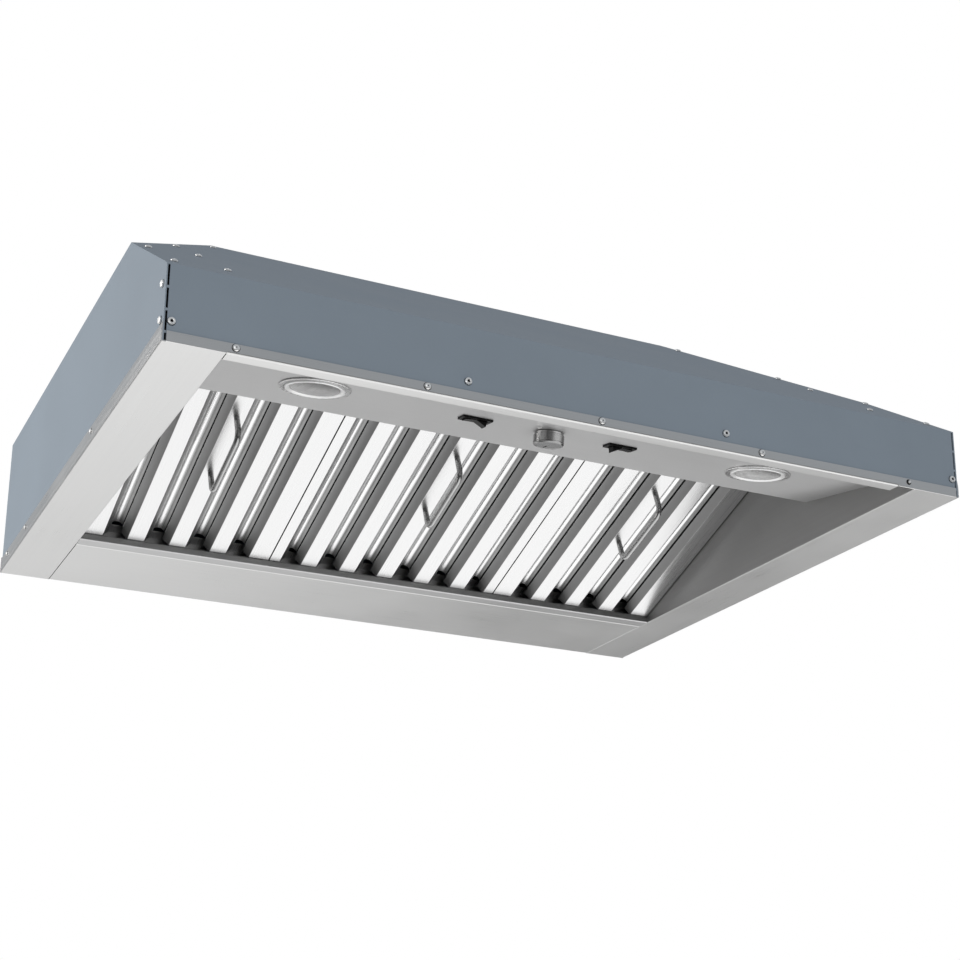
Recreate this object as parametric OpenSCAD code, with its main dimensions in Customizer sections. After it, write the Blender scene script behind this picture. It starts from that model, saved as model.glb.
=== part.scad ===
// Range hood insert: a sheet-metal canopy liner with baffle filters, lamps,
// switches, a speed knob and a blower. Millimetres, +Z up, front faces -Y,
// origin on the rim plane under the middle of the body.

/* [Body] */
// Overall width over the rim
body_w = 873; // [840:1:900]
// Overall depth over the rim
body_d = 722; // [710:1:740]
// Height of the fold between front face and front slope
front_h = 76; // [70:1:82]
// Height of the side panels
side_h = 167; // [160:1:174]
// Height of the flat top
top_h = 306; // [300:1:315]
// Depth of the front slope, front face to flat top
slope_d = 367; // [350:1:380]
// Width of each sloping side roof
hip_w = 140; // [125:1:155]
// Sheet thickness
sheet_t = 1.2; // [1:0.1:1.5]

/* [Rim] */
// Width of the side flanges of the rim
flange_w = 59; // [55:1:63]
// Height of the rim lip at the sides and rear
side_lip_h = 19.5; // [18:0.5:22]
// Height of the rim lip at the front
front_lip_h = 10.5; // [10:0.5:13]
// Depth of the front strip of the rim
strip_d = 16; // [14:0.5:18]
// Gap between the right end of the front strip and the side flange
strip_notch = 22; // [15:1:28]
// Depth of the rear pan
pan_d = 148; // [142:1:155]
// Width of the grease trough
trough_w = 20; // [19:0.5:24]
// Height of the trough's front wall
trough_wall_h = 7.85; // [6.85:0.05:8.6]
// Height of the trough's rear wall
trough_back_h = 26; // [24:0.5:30]
// Gap in the seams between the rim's sheets
seam_gap = 0.5; // [0.3:0.1:0.8]

/* [Control panel] */
// Height of the panel's front edge over the rim plane
panel_rise = 19.5; // [18:0.5:22]
// Tilt of the panel, rear edge up
panel_tilt = 9.6; // [8:0.1:11]
// Horizontal depth of the panel, behind the front strip
panel_d = 176; // [168:1:182]
// Distance of lamps, switches and knob from the front face
control_setback = 110.6; // [105:0.2:116]
// Distance of each lamp's centre from the control panel's end, mm
lamp_in = 122.2; // [110:0.2:135]
// Radius of the lamp's outer ring
lamp_r = 35.4; // [33:0.2:38]
// Radius of the lamp's raised inner ring
lamp_inner_r = 29.3; // [27.5:0.1:30.5]
// Depth of the lamp can over the panel
lamp_can_h = 62; // [58:1:66]
// Switch centres, from the middle
switch_x = 83.5; // [75:0.5:95]
// Width of the switch bezel
switch_w = 33; // [31:0.5:36]
// Depth of the switch bezel
switch_d = 15; // [14:0.5:17]
// Knob diameter
knob_d = 32; // [28:0.5:36]
// Knob height
knob_h = 13; // [11:0.5:16]

/* [Filters] */
// Slope of the filters, front end up
filter_angle = 20.7; // [19.5:0.1:21.5]
// Length of each filter along its slope
filter_len = 392; // [385:1:396]
// Thickness of each filter
filter_t = 18; // [17:0.5:19]
// Width of the middle filter, as a share of the width between the inner walls
mid_filter_share = 0.3947; // [0.385:0.0001:0.405]
// Gap between neighbouring filters
filter_gap = 1.5; // [1:0.1:2.5]
// Pitch of the front baffles, as a share of the width between the inner walls
baffle_pitch_share = 0.0658; // [0.0636:0.0001:0.0675]
// Width of each front baffle's flat face
baffle_w = 19.6; // [18.5:0.1:21]
// Sheet of the baffles and filter frames
baffle_t = 0.9; // [0.8:0.1:1.1]
// Length of the handle along the filter
handle_span = 96; // [86:1:106]
// Reach of the handle below the filter
handle_reach = 33; // [29:0.5:36]
// Thickness of the handle wire
handle_wire = 6.6; // [6:0.1:7.5]

/* [Blower] */
// Wheel radius
wheel_r = 80; // [74:1:83]
// Wheel width
wheel_w = 130; // [120:1:134]
// Radius of the blower shaft
shaft_r = 5; // [4:0.1:6]
// Outer radius of the duct collar
collar_r = 101.6; // [100.6:0.1:105]
// Height of the duct collar
collar_h = 45; // [42:1:60]

/* [Hidden] */

$fn = 48;
// Overrun of every cut
cut = 1;
// Running gap of moving parts beside fixed ones
run_gap = 0.3;
// Radial fit of shafts and pins
pin_fit = 0.08;

shell_steel = [0.50, 0.54, 0.58];
rim_steel = [0.80, 0.80, 0.79];
dark_steel = [0.45, 0.45, 0.45];
black = [0.06, 0.06, 0.06];
glass = [0.85, 0.88, 0.88, 0.6];

// Body planes
front_y = -body_d / 2;
rear_y = body_d / 2;
shell_w = body_w - 2 * sheet_t;
shell_x = shell_w / 2;
shell_front = front_y + sheet_t;
shell_rear = rear_y - sheet_t;
slope_tan = (top_h - front_h) / slope_d;
slope_angle = atan(slope_tan);
roof_tan = (top_h - side_h) / hip_w;
roof_angle = atan(roof_tan);
ridge_y = shell_front + slope_d;
hip_front_y = shell_front + (side_h - front_h) / slope_tan;
inner_x = body_w / 2 - flange_w;
lamp_x = inner_x - lamp_in;
mid_filter_w = mid_filter_share * 2 * inner_x;
baffle_pitch = baffle_pitch_share * 2 * inner_x;
side_bend = 25;

// Screws: pan heads on short shanks
screw_head_r = 3.6;
screw_head_h = 2.2;
screw_r = 2;
screw_hole_r = 2.15;
small_head_r = 2.6;
small_head_h = 1.6;
small_screw_r = 1.4;
small_hole_r = 1.55;

// Control panel frame
panel_y = front_y + strip_d;
panel_len = panel_d / cos(panel_tilt);
panel_top_z = panel_rise + panel_d * tan(panel_tilt);
control_v = (control_setback - strip_d) / cos(panel_tilt);

// Filter frame: the underside plane passes over the trough's front wall
trough_y = rear_y - pan_d - trough_w;
filter_rise = tan(filter_angle);
filter_z = trough_wall_h + run_gap + sheet_t * filter_rise;
filter_wall_gap = 0.9;
filter_seat = (trough_w - sheet_t - run_gap - filter_t * sin(filter_angle))
    / cos(filter_angle);
side_filter_w = inner_x - filter_wall_gap - mid_filter_w / 2 - filter_gap;
side_filter_x = mid_filter_w / 2 + filter_gap + side_filter_w / 2;
handle_v = filter_len / 2;

// Height over the rim plane of the filters' underside at a place y
function filter_under(y) = filter_z + (trough_y - y) * filter_rise;
// Front wall and slope, offset inward by o: corner height and slope height
function fold_z(o) = front_h + o * slope_tan - o / cos(slope_angle);
function slope_z(o, y) = front_h + (y - shell_front) * slope_tan - o / cos(slope_angle);

// Helpers

// A profile in the Y-Z plane, drawn along X over a width, about the middle
module along_x(w) {
    translate([-w / 2, 0, 0])
        rotate([90, 0, 90])
            linear_extrude(w)
                children();
}

// A profile in the X-Z plane, drawn along Y from y0 to y1
module along_y(y0, y1) {
    translate([0, y1, 0])
        rotate([90, 0, 0])
            linear_extrude(y1 - y0)
                children();
}

// A block from its lowest to its highest corner
module block(a, b) {
    translate(a)
        cube(b - a);
}

// Draws the children on the left, for side -1, or on the right, for side 1
module on_side(side) {
    scale_x = side;
    if (scale_x > 0)
        children();
    else
        mirror([1, 0, 0])
            children();
}

// The panel's own frame: x along the panel, y up its slope, z into the body
module at_panel() {
    translate([0, panel_y, panel_rise])
        rotate([panel_tilt, 0, 0])
            children();
}

// The filters' own frame: x across, y down the slope, z away from the room
module at_filter() {
    translate([0, trough_y, filter_z])
        rotate([-filter_angle, 0, 0])
            children();
}

// The front slope's own frame: x across, y up the slope from the fold, z out
module at_slope() {
    translate([0, shell_front, front_h])
        rotate([slope_angle, 0, 0])
            children();
}

// A pan-head screw along +Z: the head's seat is at z 0, the shank goes down
crown_share = 0.55;
brow_share = 0.9;
brow_h_share = 0.6;
foot_h_share = 0.2;
module pan_screw(head_r, head_h, r, reach) {
    rotate_extrude()
        polygon([[0, head_h], [head_r * crown_share, head_h],
            [head_r * brow_share, head_h * brow_h_share], [head_r, head_h * foot_h_share],
            [head_r, 0], [r, 0], [r, -reach], [0, -reach]]);
}

// Places of the screws, each with +Z along the screw's outer end
front_screw_z = 20;
front_screw_in = 7;
front_screw_shares = [-1, -1 / 3, 1 / 3, 1];
front_screw_span = shell_x - front_screw_in;
module front_face_places() {
    for (share = front_screw_shares)
        translate([share * front_screw_span, shell_front, front_screw_z])
            rotate([90, 0, 0])
                children();
}

lip_screw_count = 5;
lip_screw_in = 67.3;
lip_screw_pitch = (body_w - 2 * lip_screw_in) / (lip_screw_count - 1);
lip_screw_z = 6.4;
module lip_places() {
    for (i = [0:lip_screw_count - 1], side = [-1, 1])
        translate([(i - (lip_screw_count - 1) / 2) * lip_screw_pitch, side * front_y, lip_screw_z])
            rotate([side * 90, 0, 0])
                children();
}

rim_screw_shares = [0.3587, 0.7992, 0.9446];
rim_screw_z = 12.4;
module rim_side_places() {
    for (side = [-1, 1], share = rim_screw_shares)
        translate([side * body_w / 2, front_y + share * body_d, rim_screw_z])
            rotate([0, side * 90, 0])
                children();
}

corner_screw_d = 10;
corner_screw_zs = [24, 59.5];
module corner_places() {
    for (side = [-1, 1], z = corner_screw_zs)
        translate([side * shell_x, shell_front + corner_screw_d, z])
            rotate([0, side * 90, 0])
                children();
}

edge_screw_in = 13;
edge_screw_vs = [32, 152];
wall_screw_in = 12;
wall_screw_vs = [60, 184];
hip_screw_in = 14;
hip_screw_shares = [0.36, 0.86];
hip_v0 = (hip_front_y - shell_front) / cos(slope_angle);
hip_v1 = slope_d / cos(slope_angle);
module slope_places() {
    at_slope() {
        for (side = [-1, 1], v = edge_screw_vs)
            translate([side * (shell_x - edge_screw_in), v, 0])
                children();
        for (side = [-1, 1], v = wall_screw_vs)
            translate([side * (inner_x - wall_screw_in), v, 0])
                children();
        for (side = [-1, 1], share = hip_screw_shares)
            translate([side * (shell_x - share * hip_w - hip_screw_in),
                hip_v0 + share * (hip_v1 - hip_v0), 0])
                children();
    }
}

module hole(r, depth = 5 * sheet_t) {
    translate([0, 0, -depth])
        cylinder(r = r, h = depth + cut);
}

// Shell

// Between offsets o1 and o2 inside the front wall and slope, up to y_end
module front_band(o1, o2, z0, y_end) {
    polygon([[shell_front + o1, z0], [shell_front + o1, fold_z(o1)],
        [y_end, slope_z(o1, y_end)], [y_end, slope_z(o2, y_end)],
        [shell_front + o2, fold_z(o2)], [shell_front + o2, z0]]);
}

// Outline of the right side roof seen from above, behind its hip
module roof_plan() {
    linear_extrude(top_h + cut)
        polygon([[shell_x, hip_front_y], [shell_x - hip_w, ridge_y],
            [shell_x - hip_w, rear_y], [shell_x, rear_y]]);
}

// Outline of the front wall and slope seen from above, between the hips
module front_plan() {
    linear_extrude(top_h + cut)
        polygon([[-shell_x, shell_front], [shell_x, shell_front],
            [shell_x, hip_front_y], [shell_x - hip_w, ridge_y],
            [-shell_x + hip_w, ridge_y], [-shell_x, hip_front_y]]);
}

tab_h = 2.4;
tab_zs = [9.5, 31, 53];
corner_gap = 2;
corner_top = fold_z(0) - tab_h / 2;
seam_x = shell_x - sheet_t;
lip_end_x = seam_x - corner_gap;
module front_panel() {
    color(shell_steel)
    difference() {
        intersection() {
            along_x(shell_w)
                front_band(0, sheet_t, sheet_t, ridge_y);
            front_plan();
        }
        // Room for the front edges of the side walls
        for (side = [-1, 1])
            on_side(side)
                block([seam_x, shell_front - cut, 0], [shell_x + cut, shell_front + sheet_t + cut, corner_top]);
        // Slots between the tabs of the two front corners
        for (side = [-1, 1], i = [0:len(tab_zs)]) {
            z0 = i > 0 ? tab_zs[i - 1] + tab_h / 2 : 0;
            z1 = i < len(tab_zs) ? tab_zs[i] - tab_h / 2 : corner_top;
            translate([side * seam_x, shell_front, (z0 + z1) / 2])
                cube([2 * corner_gap, 4 * sheet_t, z1 - z0], center = true);
        }
        front_face_places()
            hole(screw_hole_r);
        lip_places()
            hole(screw_hole_r);
        slope_places()
            hole(screw_hole_r);
    }
}

// Side wall with a flange under the edge of the front slope and the side roof,
// and a bend relief between the two
bend_relief = 5;
module side_panel(side) {
    drop = sheet_t / cos(roof_angle);
    color(shell_steel)
    difference() {
        on_side(side) {
            // wall
            intersection() {
                translate([shell_x - sheet_t / 2, 0, 0])
                    along_x(sheet_t)
                        polygon([[shell_front, sheet_t], [shell_front, corner_top],
                            [shell_front + sheet_t, corner_top],
                            [shell_front + sheet_t, fold_z(sheet_t)],
                            [hip_front_y, slope_z(sheet_t, hip_front_y)],
                            [shell_rear - sheet_t, slope_z(sheet_t, hip_front_y)],
                            [shell_rear - sheet_t, sheet_t]]);
                translate([0, 0, -cut])
                    block([shell_x - sheet_t, front_y, 0], [shell_x, rear_y, side_h - drop + cut]);
            }
            // flange under the front slope
            intersection() {
                translate([shell_x - side_bend / 2, 0, 0])
                    along_x(side_bend)
                        front_band(sheet_t, 2 * sheet_t, front_h / 2, hip_front_y);
                block([0, shell_front + 4 * sheet_t, 0], [shell_x, hip_front_y - bend_relief, side_h]);
            }
            // flange under the side roof
            intersection() {
                along_y(hip_front_y + bend_relief, shell_rear - sheet_t)
                    polygon([[shell_x, side_h - drop], [shell_x - side_bend, side_h - drop + side_bend * roof_tan],
                        [shell_x - side_bend, side_h - 2 * drop + side_bend * roof_tan],
                        [shell_x, side_h - 2 * drop]]);
                roof_plan();
            }
        }
        corner_places()
            hole(screw_hole_r);
        rim_side_places()
            hole(small_hole_r);
        slope_places()
            hole(screw_hole_r);
    }
}

module left_side_panel() { side_panel(-1); }
module right_side_panel() { side_panel(1); }

hip_bend = 26;
module roof_panel(side) {
    drop = sheet_t / cos(roof_angle);
    color(shell_steel)
    difference() {
        on_side(side) {
            intersection() {
                along_y(front_y, shell_rear - sheet_t)
                    polygon([[shell_x, side_h], [shell_x - hip_w, top_h],
                        [shell_x - hip_w, top_h - drop], [shell_x, side_h - drop]]);
                roof_plan();
            }
            // flange along the hip, under the front slope
            intersection() {
                along_x(shell_w)
                    front_band(sheet_t, 2 * sheet_t, front_h / 2, ridge_y);
                linear_extrude(top_h + cut)
                    polygon([[shell_x, hip_front_y], [shell_x - hip_w, ridge_y],
                        [shell_x - hip_w - hip_bend, ridge_y],
                        [shell_x - hip_bend, hip_front_y]]);
            }
        }
        slope_places()
            hole(screw_hole_r);
    }
}

module left_roof_panel() { roof_panel(-1); }
module right_roof_panel() { roof_panel(1); }

// Places on the flat top
duct_setback = 160.8;
duct_y = shell_rear - duct_setback;
hang_side_in = 40.3;
hang_in = 40;
hang_front = ridge_y + hang_in;
hang_rear = shell_rear - hang_in;
hang_hole_r = 4.2;
conduit_side_in = 95.3;
conduit_in = 70;
conduit_y = shell_rear - conduit_in;
conduit_r = 11.1;
wheel_gap = 8;
wheel_side_gap = 10;
scroll_grow = 40;
outlet_w = wheel_w + 2 * wheel_side_gap;
outlet_d = wheel_r + wheel_gap + scroll_grow;
duct_hole_step = 1.6;
duct_hole_r = collar_r - duct_hole_step;
collar_flange_w = 18;
collar_screw_count = 8;
collar_screw_out = 10.4;
collar_screw_r = collar_r + collar_screw_out;
top_in = shell_x - hip_w;
hang_x = top_in - hang_side_in;
conduit_x = conduit_side_in - top_in;

module hang_places() {
    for (x = [-hang_x, hang_x], y = [hang_front, hang_rear])
        translate([x, y, top_h])
            children();
}

module collar_screw_places() {
    for (i = [0:collar_screw_count - 1])
        translate([0, duct_y, top_h])
            rotate([0, 0, (i + 0.5) * 360 / collar_screw_count])
                translate([collar_screw_r, 0, 0])
                    children();
}

module top_panel() {
    color(shell_steel)
    difference() {
        block([-top_in, ridge_y, top_h - sheet_t], [top_in, shell_rear - sheet_t, top_h]);
        translate([0, duct_y, top_h])
            hole(duct_hole_r);
        hang_places()
            hole(hang_hole_r);
        translate([conduit_x, conduit_y, top_h])
            hole(conduit_r);
        collar_screw_places()
            hole(small_hole_r);
    }
}

module rear_panel() {
    color(shell_steel)
    difference() {
        along_y(shell_rear - sheet_t, shell_rear)
            polygon([[-shell_x, sheet_t], [-shell_x, side_h], [-top_in, top_h],
                [top_in, top_h], [shell_x, side_h], [shell_x, sheet_t]]);
        lip_places()
            hole(screw_hole_r);
    }
}

// Angle inside each front corner, which the corner screws hold
angle_leg = 22;
angle_bend = 4;
module corner_angle(side) {
    x0 = shell_x - sheet_t;
    y0 = shell_front + sheet_t;
    color(dark_steel)
    difference() {
        on_side(side) {
            translate([x0, y0, 2 * sheet_t])
                linear_extrude(front_h - 5 * sheet_t)
                    polygon([[-angle_leg, 0], [-angle_bend, 0], [0, angle_bend], [0, angle_leg],
                        [-sheet_t, angle_leg], [-sheet_t, angle_bend + sheet_t / 2],
                        [-angle_bend - sheet_t / 2, sheet_t], [-angle_leg, sheet_t]]);
        }
        corner_places()
            hole(screw_hole_r);
        front_face_places()
            hole(screw_hole_r);
    }
}

module left_corner_angle() { corner_angle(-1); }
module right_corner_angle() { corner_angle(1); }

// Rim

module front_rim() {
    strip_x = inner_x - strip_notch;
    color(rim_steel)
    difference() {
        union() {
            block([-lip_end_x, front_y, 0], [lip_end_x, front_y + sheet_t, front_lip_h]);
            block([seam_gap - inner_x, front_y, 0], [strip_x, front_y + strip_d, sheet_t]);
            block([seam_gap - inner_x, front_y + strip_d - sheet_t, 0],
                [strip_x, front_y + strip_d, panel_rise - sheet_t]);
        }
        lip_places()
            hole(screw_hole_r);
    }
}

module rim_flange(side) {
    color(rim_steel)
    difference() {
        on_side(side) {
            block([inner_x, front_y + sheet_t, 0], [body_w / 2, rear_y - sheet_t, sheet_t]);
            block([body_w / 2 - sheet_t, front_y + sheet_t, 0],
                [body_w / 2, rear_y - sheet_t, side_lip_h]);
        }
        rim_side_places()
            hole(small_hole_r);
    }
}

module left_rim_flange() { rim_flange(-1); }
module right_rim_flange() { rim_flange(1); }

module rear_pan() {
    pan_y = rear_y - pan_d;
    color(rim_steel)
    difference() {
        union() {
            block([seam_gap - inner_x, pan_y, 0], [inner_x - seam_gap, rear_y, sheet_t]);
            block([-inner_x + sheet_t, pan_y, 0], [inner_x - sheet_t, pan_y + sheet_t, trough_back_h]);
            block([-body_w / 2, rear_y - sheet_t, 0], [body_w / 2, rear_y, side_lip_h]);
        }
        lip_places()
            hole(screw_hole_r);
    }
}

module grease_trough() {
    y0 = trough_y;
    y1 = rear_y - pan_d;
    color(rim_steel) {
        block([-inner_x, y0, 0], [inner_x, y1, sheet_t]);
        block([-inner_x, y0, 0], [inner_x, y0 + sheet_t, trough_wall_h]);
        block([-inner_x, y1 - sheet_t, 0], [inner_x, y1, trough_back_h]);
    }
}

// Wall between a side flange and the filters, up to the roof
wall_bend = 24;
module inner_wall(side) {
    x0 = inner_x;
    wall_top = side_h + (shell_x - inner_x - sheet_t) * roof_tan - 3 * sheet_t;
    y_top = shell_front + (wall_top - front_h + 2 * sheet_t / cos(slope_angle)) / slope_tan;
    y0 = shell_front + sheet_t;
    color(rim_steel)
    difference() {
        on_side(side) {
            translate([x0 + sheet_t / 2, 0, 0])
                along_x(sheet_t)
                    polygon([[y0, sheet_t], [y0, fold_z(2 * sheet_t)],
                        [shell_front + 2 * sheet_t, fold_z(2 * sheet_t)],
                        [y_top, wall_top], [shell_rear - sheet_t, wall_top],
                        [shell_rear - sheet_t, sheet_t]]);
            // flange under the front slope, which the slope screws hold
            intersection() {
                translate([x0 - wall_bend / 2 + sheet_t / 2, 0, 0])
                    along_x(wall_bend + sheet_t)
                        front_band(sheet_t, 2 * sheet_t, front_h / 2, y_top);
                block([0, shell_front + 4 * sheet_t, 0], [x0 + sheet_t, hip_front_y + side_bend, top_h]);
            }
        }
        slope_places()
            hole(screw_hole_r);
    }
}

module left_inner_wall() { inner_wall(-1); }
module right_inner_wall() { inner_wall(1); }

// Control panel

lamp_hole_gap = 1.7;
lamp_hole_r = lamp_inner_r + lamp_hole_gap;
control_hole_r = 5;
switch_body_w = 28;
switch_body_d = 12.4;
rest_w = 22;
panel_end_h = 9;
module lamp_places() {
    at_panel()
        for (side = [-1, 1])
            translate([side * lamp_x, control_v, 0])
                children();
}

module at_lamp(side) {
    at_panel()
        translate([side * lamp_x, control_v, 0])
            children();
}

module at_switch(side) {
    at_panel()
        translate([side * switch_x, control_v, 0])
            children();
}

module at_knob() {
    at_panel()
        translate([0, control_v, 0])
            children();
}

module control_panel() {
    riser_y = panel_y + panel_d;
    riser_top = filter_under(riser_y) - run_gap;
    color(rim_steel)
    difference() {
        union() {
            along_x(2 * inner_x) {
                // tilted face and rear riser
                polygon([[panel_y, panel_rise], [riser_y, panel_top_z], [riser_y, riser_top - sheet_t],
                    [riser_y - sheet_t, riser_top - sheet_t],
                    [riser_y - sheet_t, panel_top_z + sheet_t / 2],
                    [panel_y, panel_rise + sheet_t]]);
                // rest under the filters' front ends
                polygon([[riser_y - sheet_t, riser_top + sheet_t * filter_rise - 2 * sheet_t],
                    [riser_y - sheet_t, riser_top + sheet_t * filter_rise],
                    [riser_y + rest_w, riser_top - rest_w * filter_rise],
                    [riser_y + rest_w, riser_top - rest_w * filter_rise - 2 * sheet_t]]);
                // turned-down front edge, behind the strip's riser
                polygon([[panel_y, panel_rise - 6 * sheet_t], [panel_y, panel_rise + sheet_t],
                    [panel_y + sheet_t, panel_rise + sheet_t], [panel_y + sheet_t, panel_rise - 6 * sheet_t]]);
            }
            // end flanges against the inner walls
            for (side = [-1, 1])
                translate([side * (inner_x - sheet_t / 2), 0, 0])
                    along_x(sheet_t)
                        polygon([[panel_y, panel_rise], [riser_y, panel_top_z],
                            [riser_y, panel_top_z + panel_end_h], [panel_y, panel_rise + panel_end_h]]);
        }
        lamp_places()
            translate([0, 0, -cut])
                cylinder(r = lamp_hole_r, h = 4 * cut + sheet_t);
        for (side = [-1, 1])
            at_switch(side)
                block([-switch_body_w / 2, -switch_body_d / 2, -cut],
                    [switch_body_w / 2, switch_body_d / 2, 4 * cut + sheet_t]);
        at_knob()
            translate([0, 0, -cut])
                cylinder(r = control_hole_r, h = 4 * cut + sheet_t);
    }
}

// Filters

// Widths of the frames' edge faces and number of baffles each side of the middle
side_edge_w = 24.5;
mid_edge_w = 12.5;
side_baffles = 1;
mid_baffles = 2;
end_w = 12;
back_w = 14;
flank_w = 7.6;
flank_h = 8.8;
flank_angle = atan(flank_h / flank_w);
flank_in = baffle_t * tan(flank_angle / 2);
flank_run = baffle_t / sin(flank_angle);
drain_gap = 23;
arch_step_angle = 12;
filter_y1 = filter_seat;
filter_y0 = filter_seat - filter_len;

module at_filter_x(x) {
    at_filter()
        translate([x, 0, 0])
            children();
}

module filter_frame(x, w, edge_w) {
    color(rim_steel)
    at_filter_x(x) {
        difference() {
            block([-w / 2, filter_y0, 0], [w / 2, filter_y1, filter_t]);
            // inside of the channel
            block([-w / 2 + baffle_t, filter_y0 + baffle_t, baffle_t],
                [w / 2 - baffle_t, filter_y1 - baffle_t, filter_t - baffle_t]);
            // opening in the face
            block([-w / 2 + edge_w, filter_y0 + end_w, -cut],
                [w / 2 - edge_w, filter_y1 - end_w, filter_t / 2]);
            // opening in the back
            block([-w / 2 + back_w / 2, filter_y0 + back_w, filter_t / 2],
                [w / 2 - back_w / 2, filter_y1 - back_w, filter_t + cut]);
        }
        // flanks of the two edge faces
        for (side = [-1, 1])
            on_side(side)
                translate([w / 2 - edge_w, filter_y1 - end_w, 0])
                    rotate([90, 0, 0])
                        linear_extrude(filter_len - 2 * end_w)
                            polygon([[flank_in, 0], [0, 0], [-flank_w, flank_h],
                                [flank_run - flank_w, flank_h], [flank_in, baffle_t]]);
    }
}

// One channel of the front row: a flat face with two slanting flanks
module front_baffle() {
    h = baffle_w / 2;
    translate([0, filter_y1 - end_w, 0])
        rotate([90, 0, 0])
            linear_extrude(filter_len - 2 * end_w)
                polygon([[-h, 0], [h, 0], [h + flank_w, flank_h], [h + flank_w - flank_run, flank_h],
                    [h - flank_in, baffle_t], [-h + flank_in, baffle_t],
                    [-h - flank_w + flank_run, flank_h], [-h - flank_w, flank_h]]);
}

module front_baffles(x, n) {
    color(rim_steel)
    at_filter_x(x)
        for (i = [-n:n])
            translate([i * baffle_pitch, 0, 0])
                front_baffle();
}

// One arched channel of the rear row, over a gap of the given width: its feet
// stand on the ends of the flanks
module rear_baffle(gap) {
    r = gap / 2 - flank_w + baffle_t;
    h = filter_t - baffle_t - flank_h;
    translate([0, filter_y1 - drain_gap, flank_h])
        rotate([90, 0, 0])
            linear_extrude(filter_len - baffle_t - drain_gap)
                polygon(concat(
                    [for (a = [0:arch_step_angle:180]) [r * cos(a), h * sin(a)]],
                    [for (a = [180:-arch_step_angle:0]) [(r - baffle_t) * cos(a), (h - baffle_t) * sin(a)]]));
}

module rear_baffles(x, w, edge_w, n) {
    gap = baffle_pitch - baffle_w;
    end_gap = w / 2 - edge_w - n * baffle_pitch - baffle_w / 2;
    color(dark_steel)
    at_filter_x(x) {
        for (i = [-n:n - 1])
            translate([(i + 0.5) * baffle_pitch, 0, 0])
                rear_baffle(gap);
        for (side = [-1, 1])
            translate([side * (w / 2 - edge_w - end_gap / 2), 0, 0])
                rear_baffle(end_gap);
    }
}

handle_bend = 11;
// Bent wire handle, standing off the middle baffle
module filter_handle(x) {
    r = handle_wire / 2;
    reach = handle_reach - r;
    color(rim_steel)
    at_filter_x(x)
        translate([0, filter_y1 - handle_v, 0]) {
            translate([0, -handle_span / 2 + handle_bend, -reach])
                rotate([-90, 0, 0])
                    cylinder(r = r, h = handle_span - 2 * handle_bend);
            for (end = [-1, 1]) {
                translate([0, end * handle_span / 2, -reach + handle_bend])
                    cylinder(r = r, h = reach - handle_bend);
                translate([0, end * (handle_span / 2 - handle_bend), -reach + handle_bend])
                    rotate([0, 90, 0])
                        rotate([0, 0, end > 0 ? 0 : -90])
                            rotate_extrude(angle = 90)
                                translate([handle_bend, 0])
                                    circle(r = r);
            }
        }
}

module left_filter_frame() { filter_frame(-side_filter_x, side_filter_w, side_edge_w); }
module middle_filter_frame() { filter_frame(0, mid_filter_w, mid_edge_w); }
module right_filter_frame() { filter_frame(side_filter_x, side_filter_w, side_edge_w); }
module left_front_baffles() { front_baffles(-side_filter_x, side_baffles); }
module middle_front_baffles() { front_baffles(0, mid_baffles); }
module right_front_baffles() { front_baffles(side_filter_x, side_baffles); }
module left_rear_baffles() { rear_baffles(-side_filter_x, side_filter_w, side_edge_w, side_baffles); }
module middle_rear_baffles() { rear_baffles(0, mid_filter_w, mid_edge_w, mid_baffles); }
module right_rear_baffles() { rear_baffles(side_filter_x, side_filter_w, side_edge_w, side_baffles); }
module left_filter_handle() { filter_handle(-side_filter_x); }
module middle_filter_handle() { filter_handle(0); }
module right_filter_handle() { filter_handle(side_filter_x); }

// Lamps

bezel_t = 1.5;
ring_h = 3;
ring_w = 3;
lens_r = lamp_inner_r - ring_w;
lens_lip = 0.8;
lens_t = 4;
lens_in = 1;
lens_z = -ring_h + lens_in;
shoulder_t = 1.5;
shoulder_w = 2;
shoulder_r = lens_r - shoulder_w;
bulb_z = lens_z + lens_t + shoulder_t;
bulb_base_r = 9;
bulb_h = 44;
bulb_lap = 1;
bulb_neck_share = 0.72;
bezel_edge = 1;
bezel_fillet = 0.8;
lens_fit = 0.1;
can_r = lamp_hole_r + sheet_t;
can_flange_w = 6;
can_flange_r = lamp_hole_r + can_flange_w;
holder_r = 12;

module lamp_bezel(side) {
    sleeve_r = lamp_hole_r - run_gap;
    top = bulb_z;
    color(rim_steel)
    at_lamp(side)
        rotate_extrude($fn = 96)
            polygon([[lens_r - lens_lip, -ring_h], [lamp_inner_r - bezel_edge, -ring_h],
                [lamp_inner_r, -ring_h + bezel_edge], [lamp_inner_r + bezel_fillet, -bezel_t],
                [lamp_r - bezel_edge, -bezel_t], [lamp_r, -bezel_t + bezel_edge], [lamp_r, 0],
                [sleeve_r, 0], [sleeve_r, bulb_z + ring_h], [sleeve_r - sheet_t, bulb_z + ring_h],
                [sleeve_r - sheet_t, top], [shoulder_r, top],
                [shoulder_r, top - shoulder_t], [lens_r + lens_fit, top - shoulder_t],
                [lens_r + lens_fit, lens_z], [lens_r - lens_lip, lens_z]]);
}

module lamp_lens(side) {
    color(glass)
    at_lamp(side)
        translate([0, 0, lens_z])
            cylinder(r = lens_r, h = lens_t, $fn = 96);
}

module lamp_bulb(side) {
    color([0.9, 0.9, 0.86])
    at_lamp(side)
        rotate_extrude()
            polygon([[0, bulb_z], [shoulder_r + bulb_lap, bulb_z], [shoulder_r + bulb_lap, bulb_z + ring_h],
                [bulb_base_r, bulb_z + bulb_h * bulb_neck_share], [bulb_base_r, bulb_z + bulb_h], [0, bulb_z + bulb_h]]);
}

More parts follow.
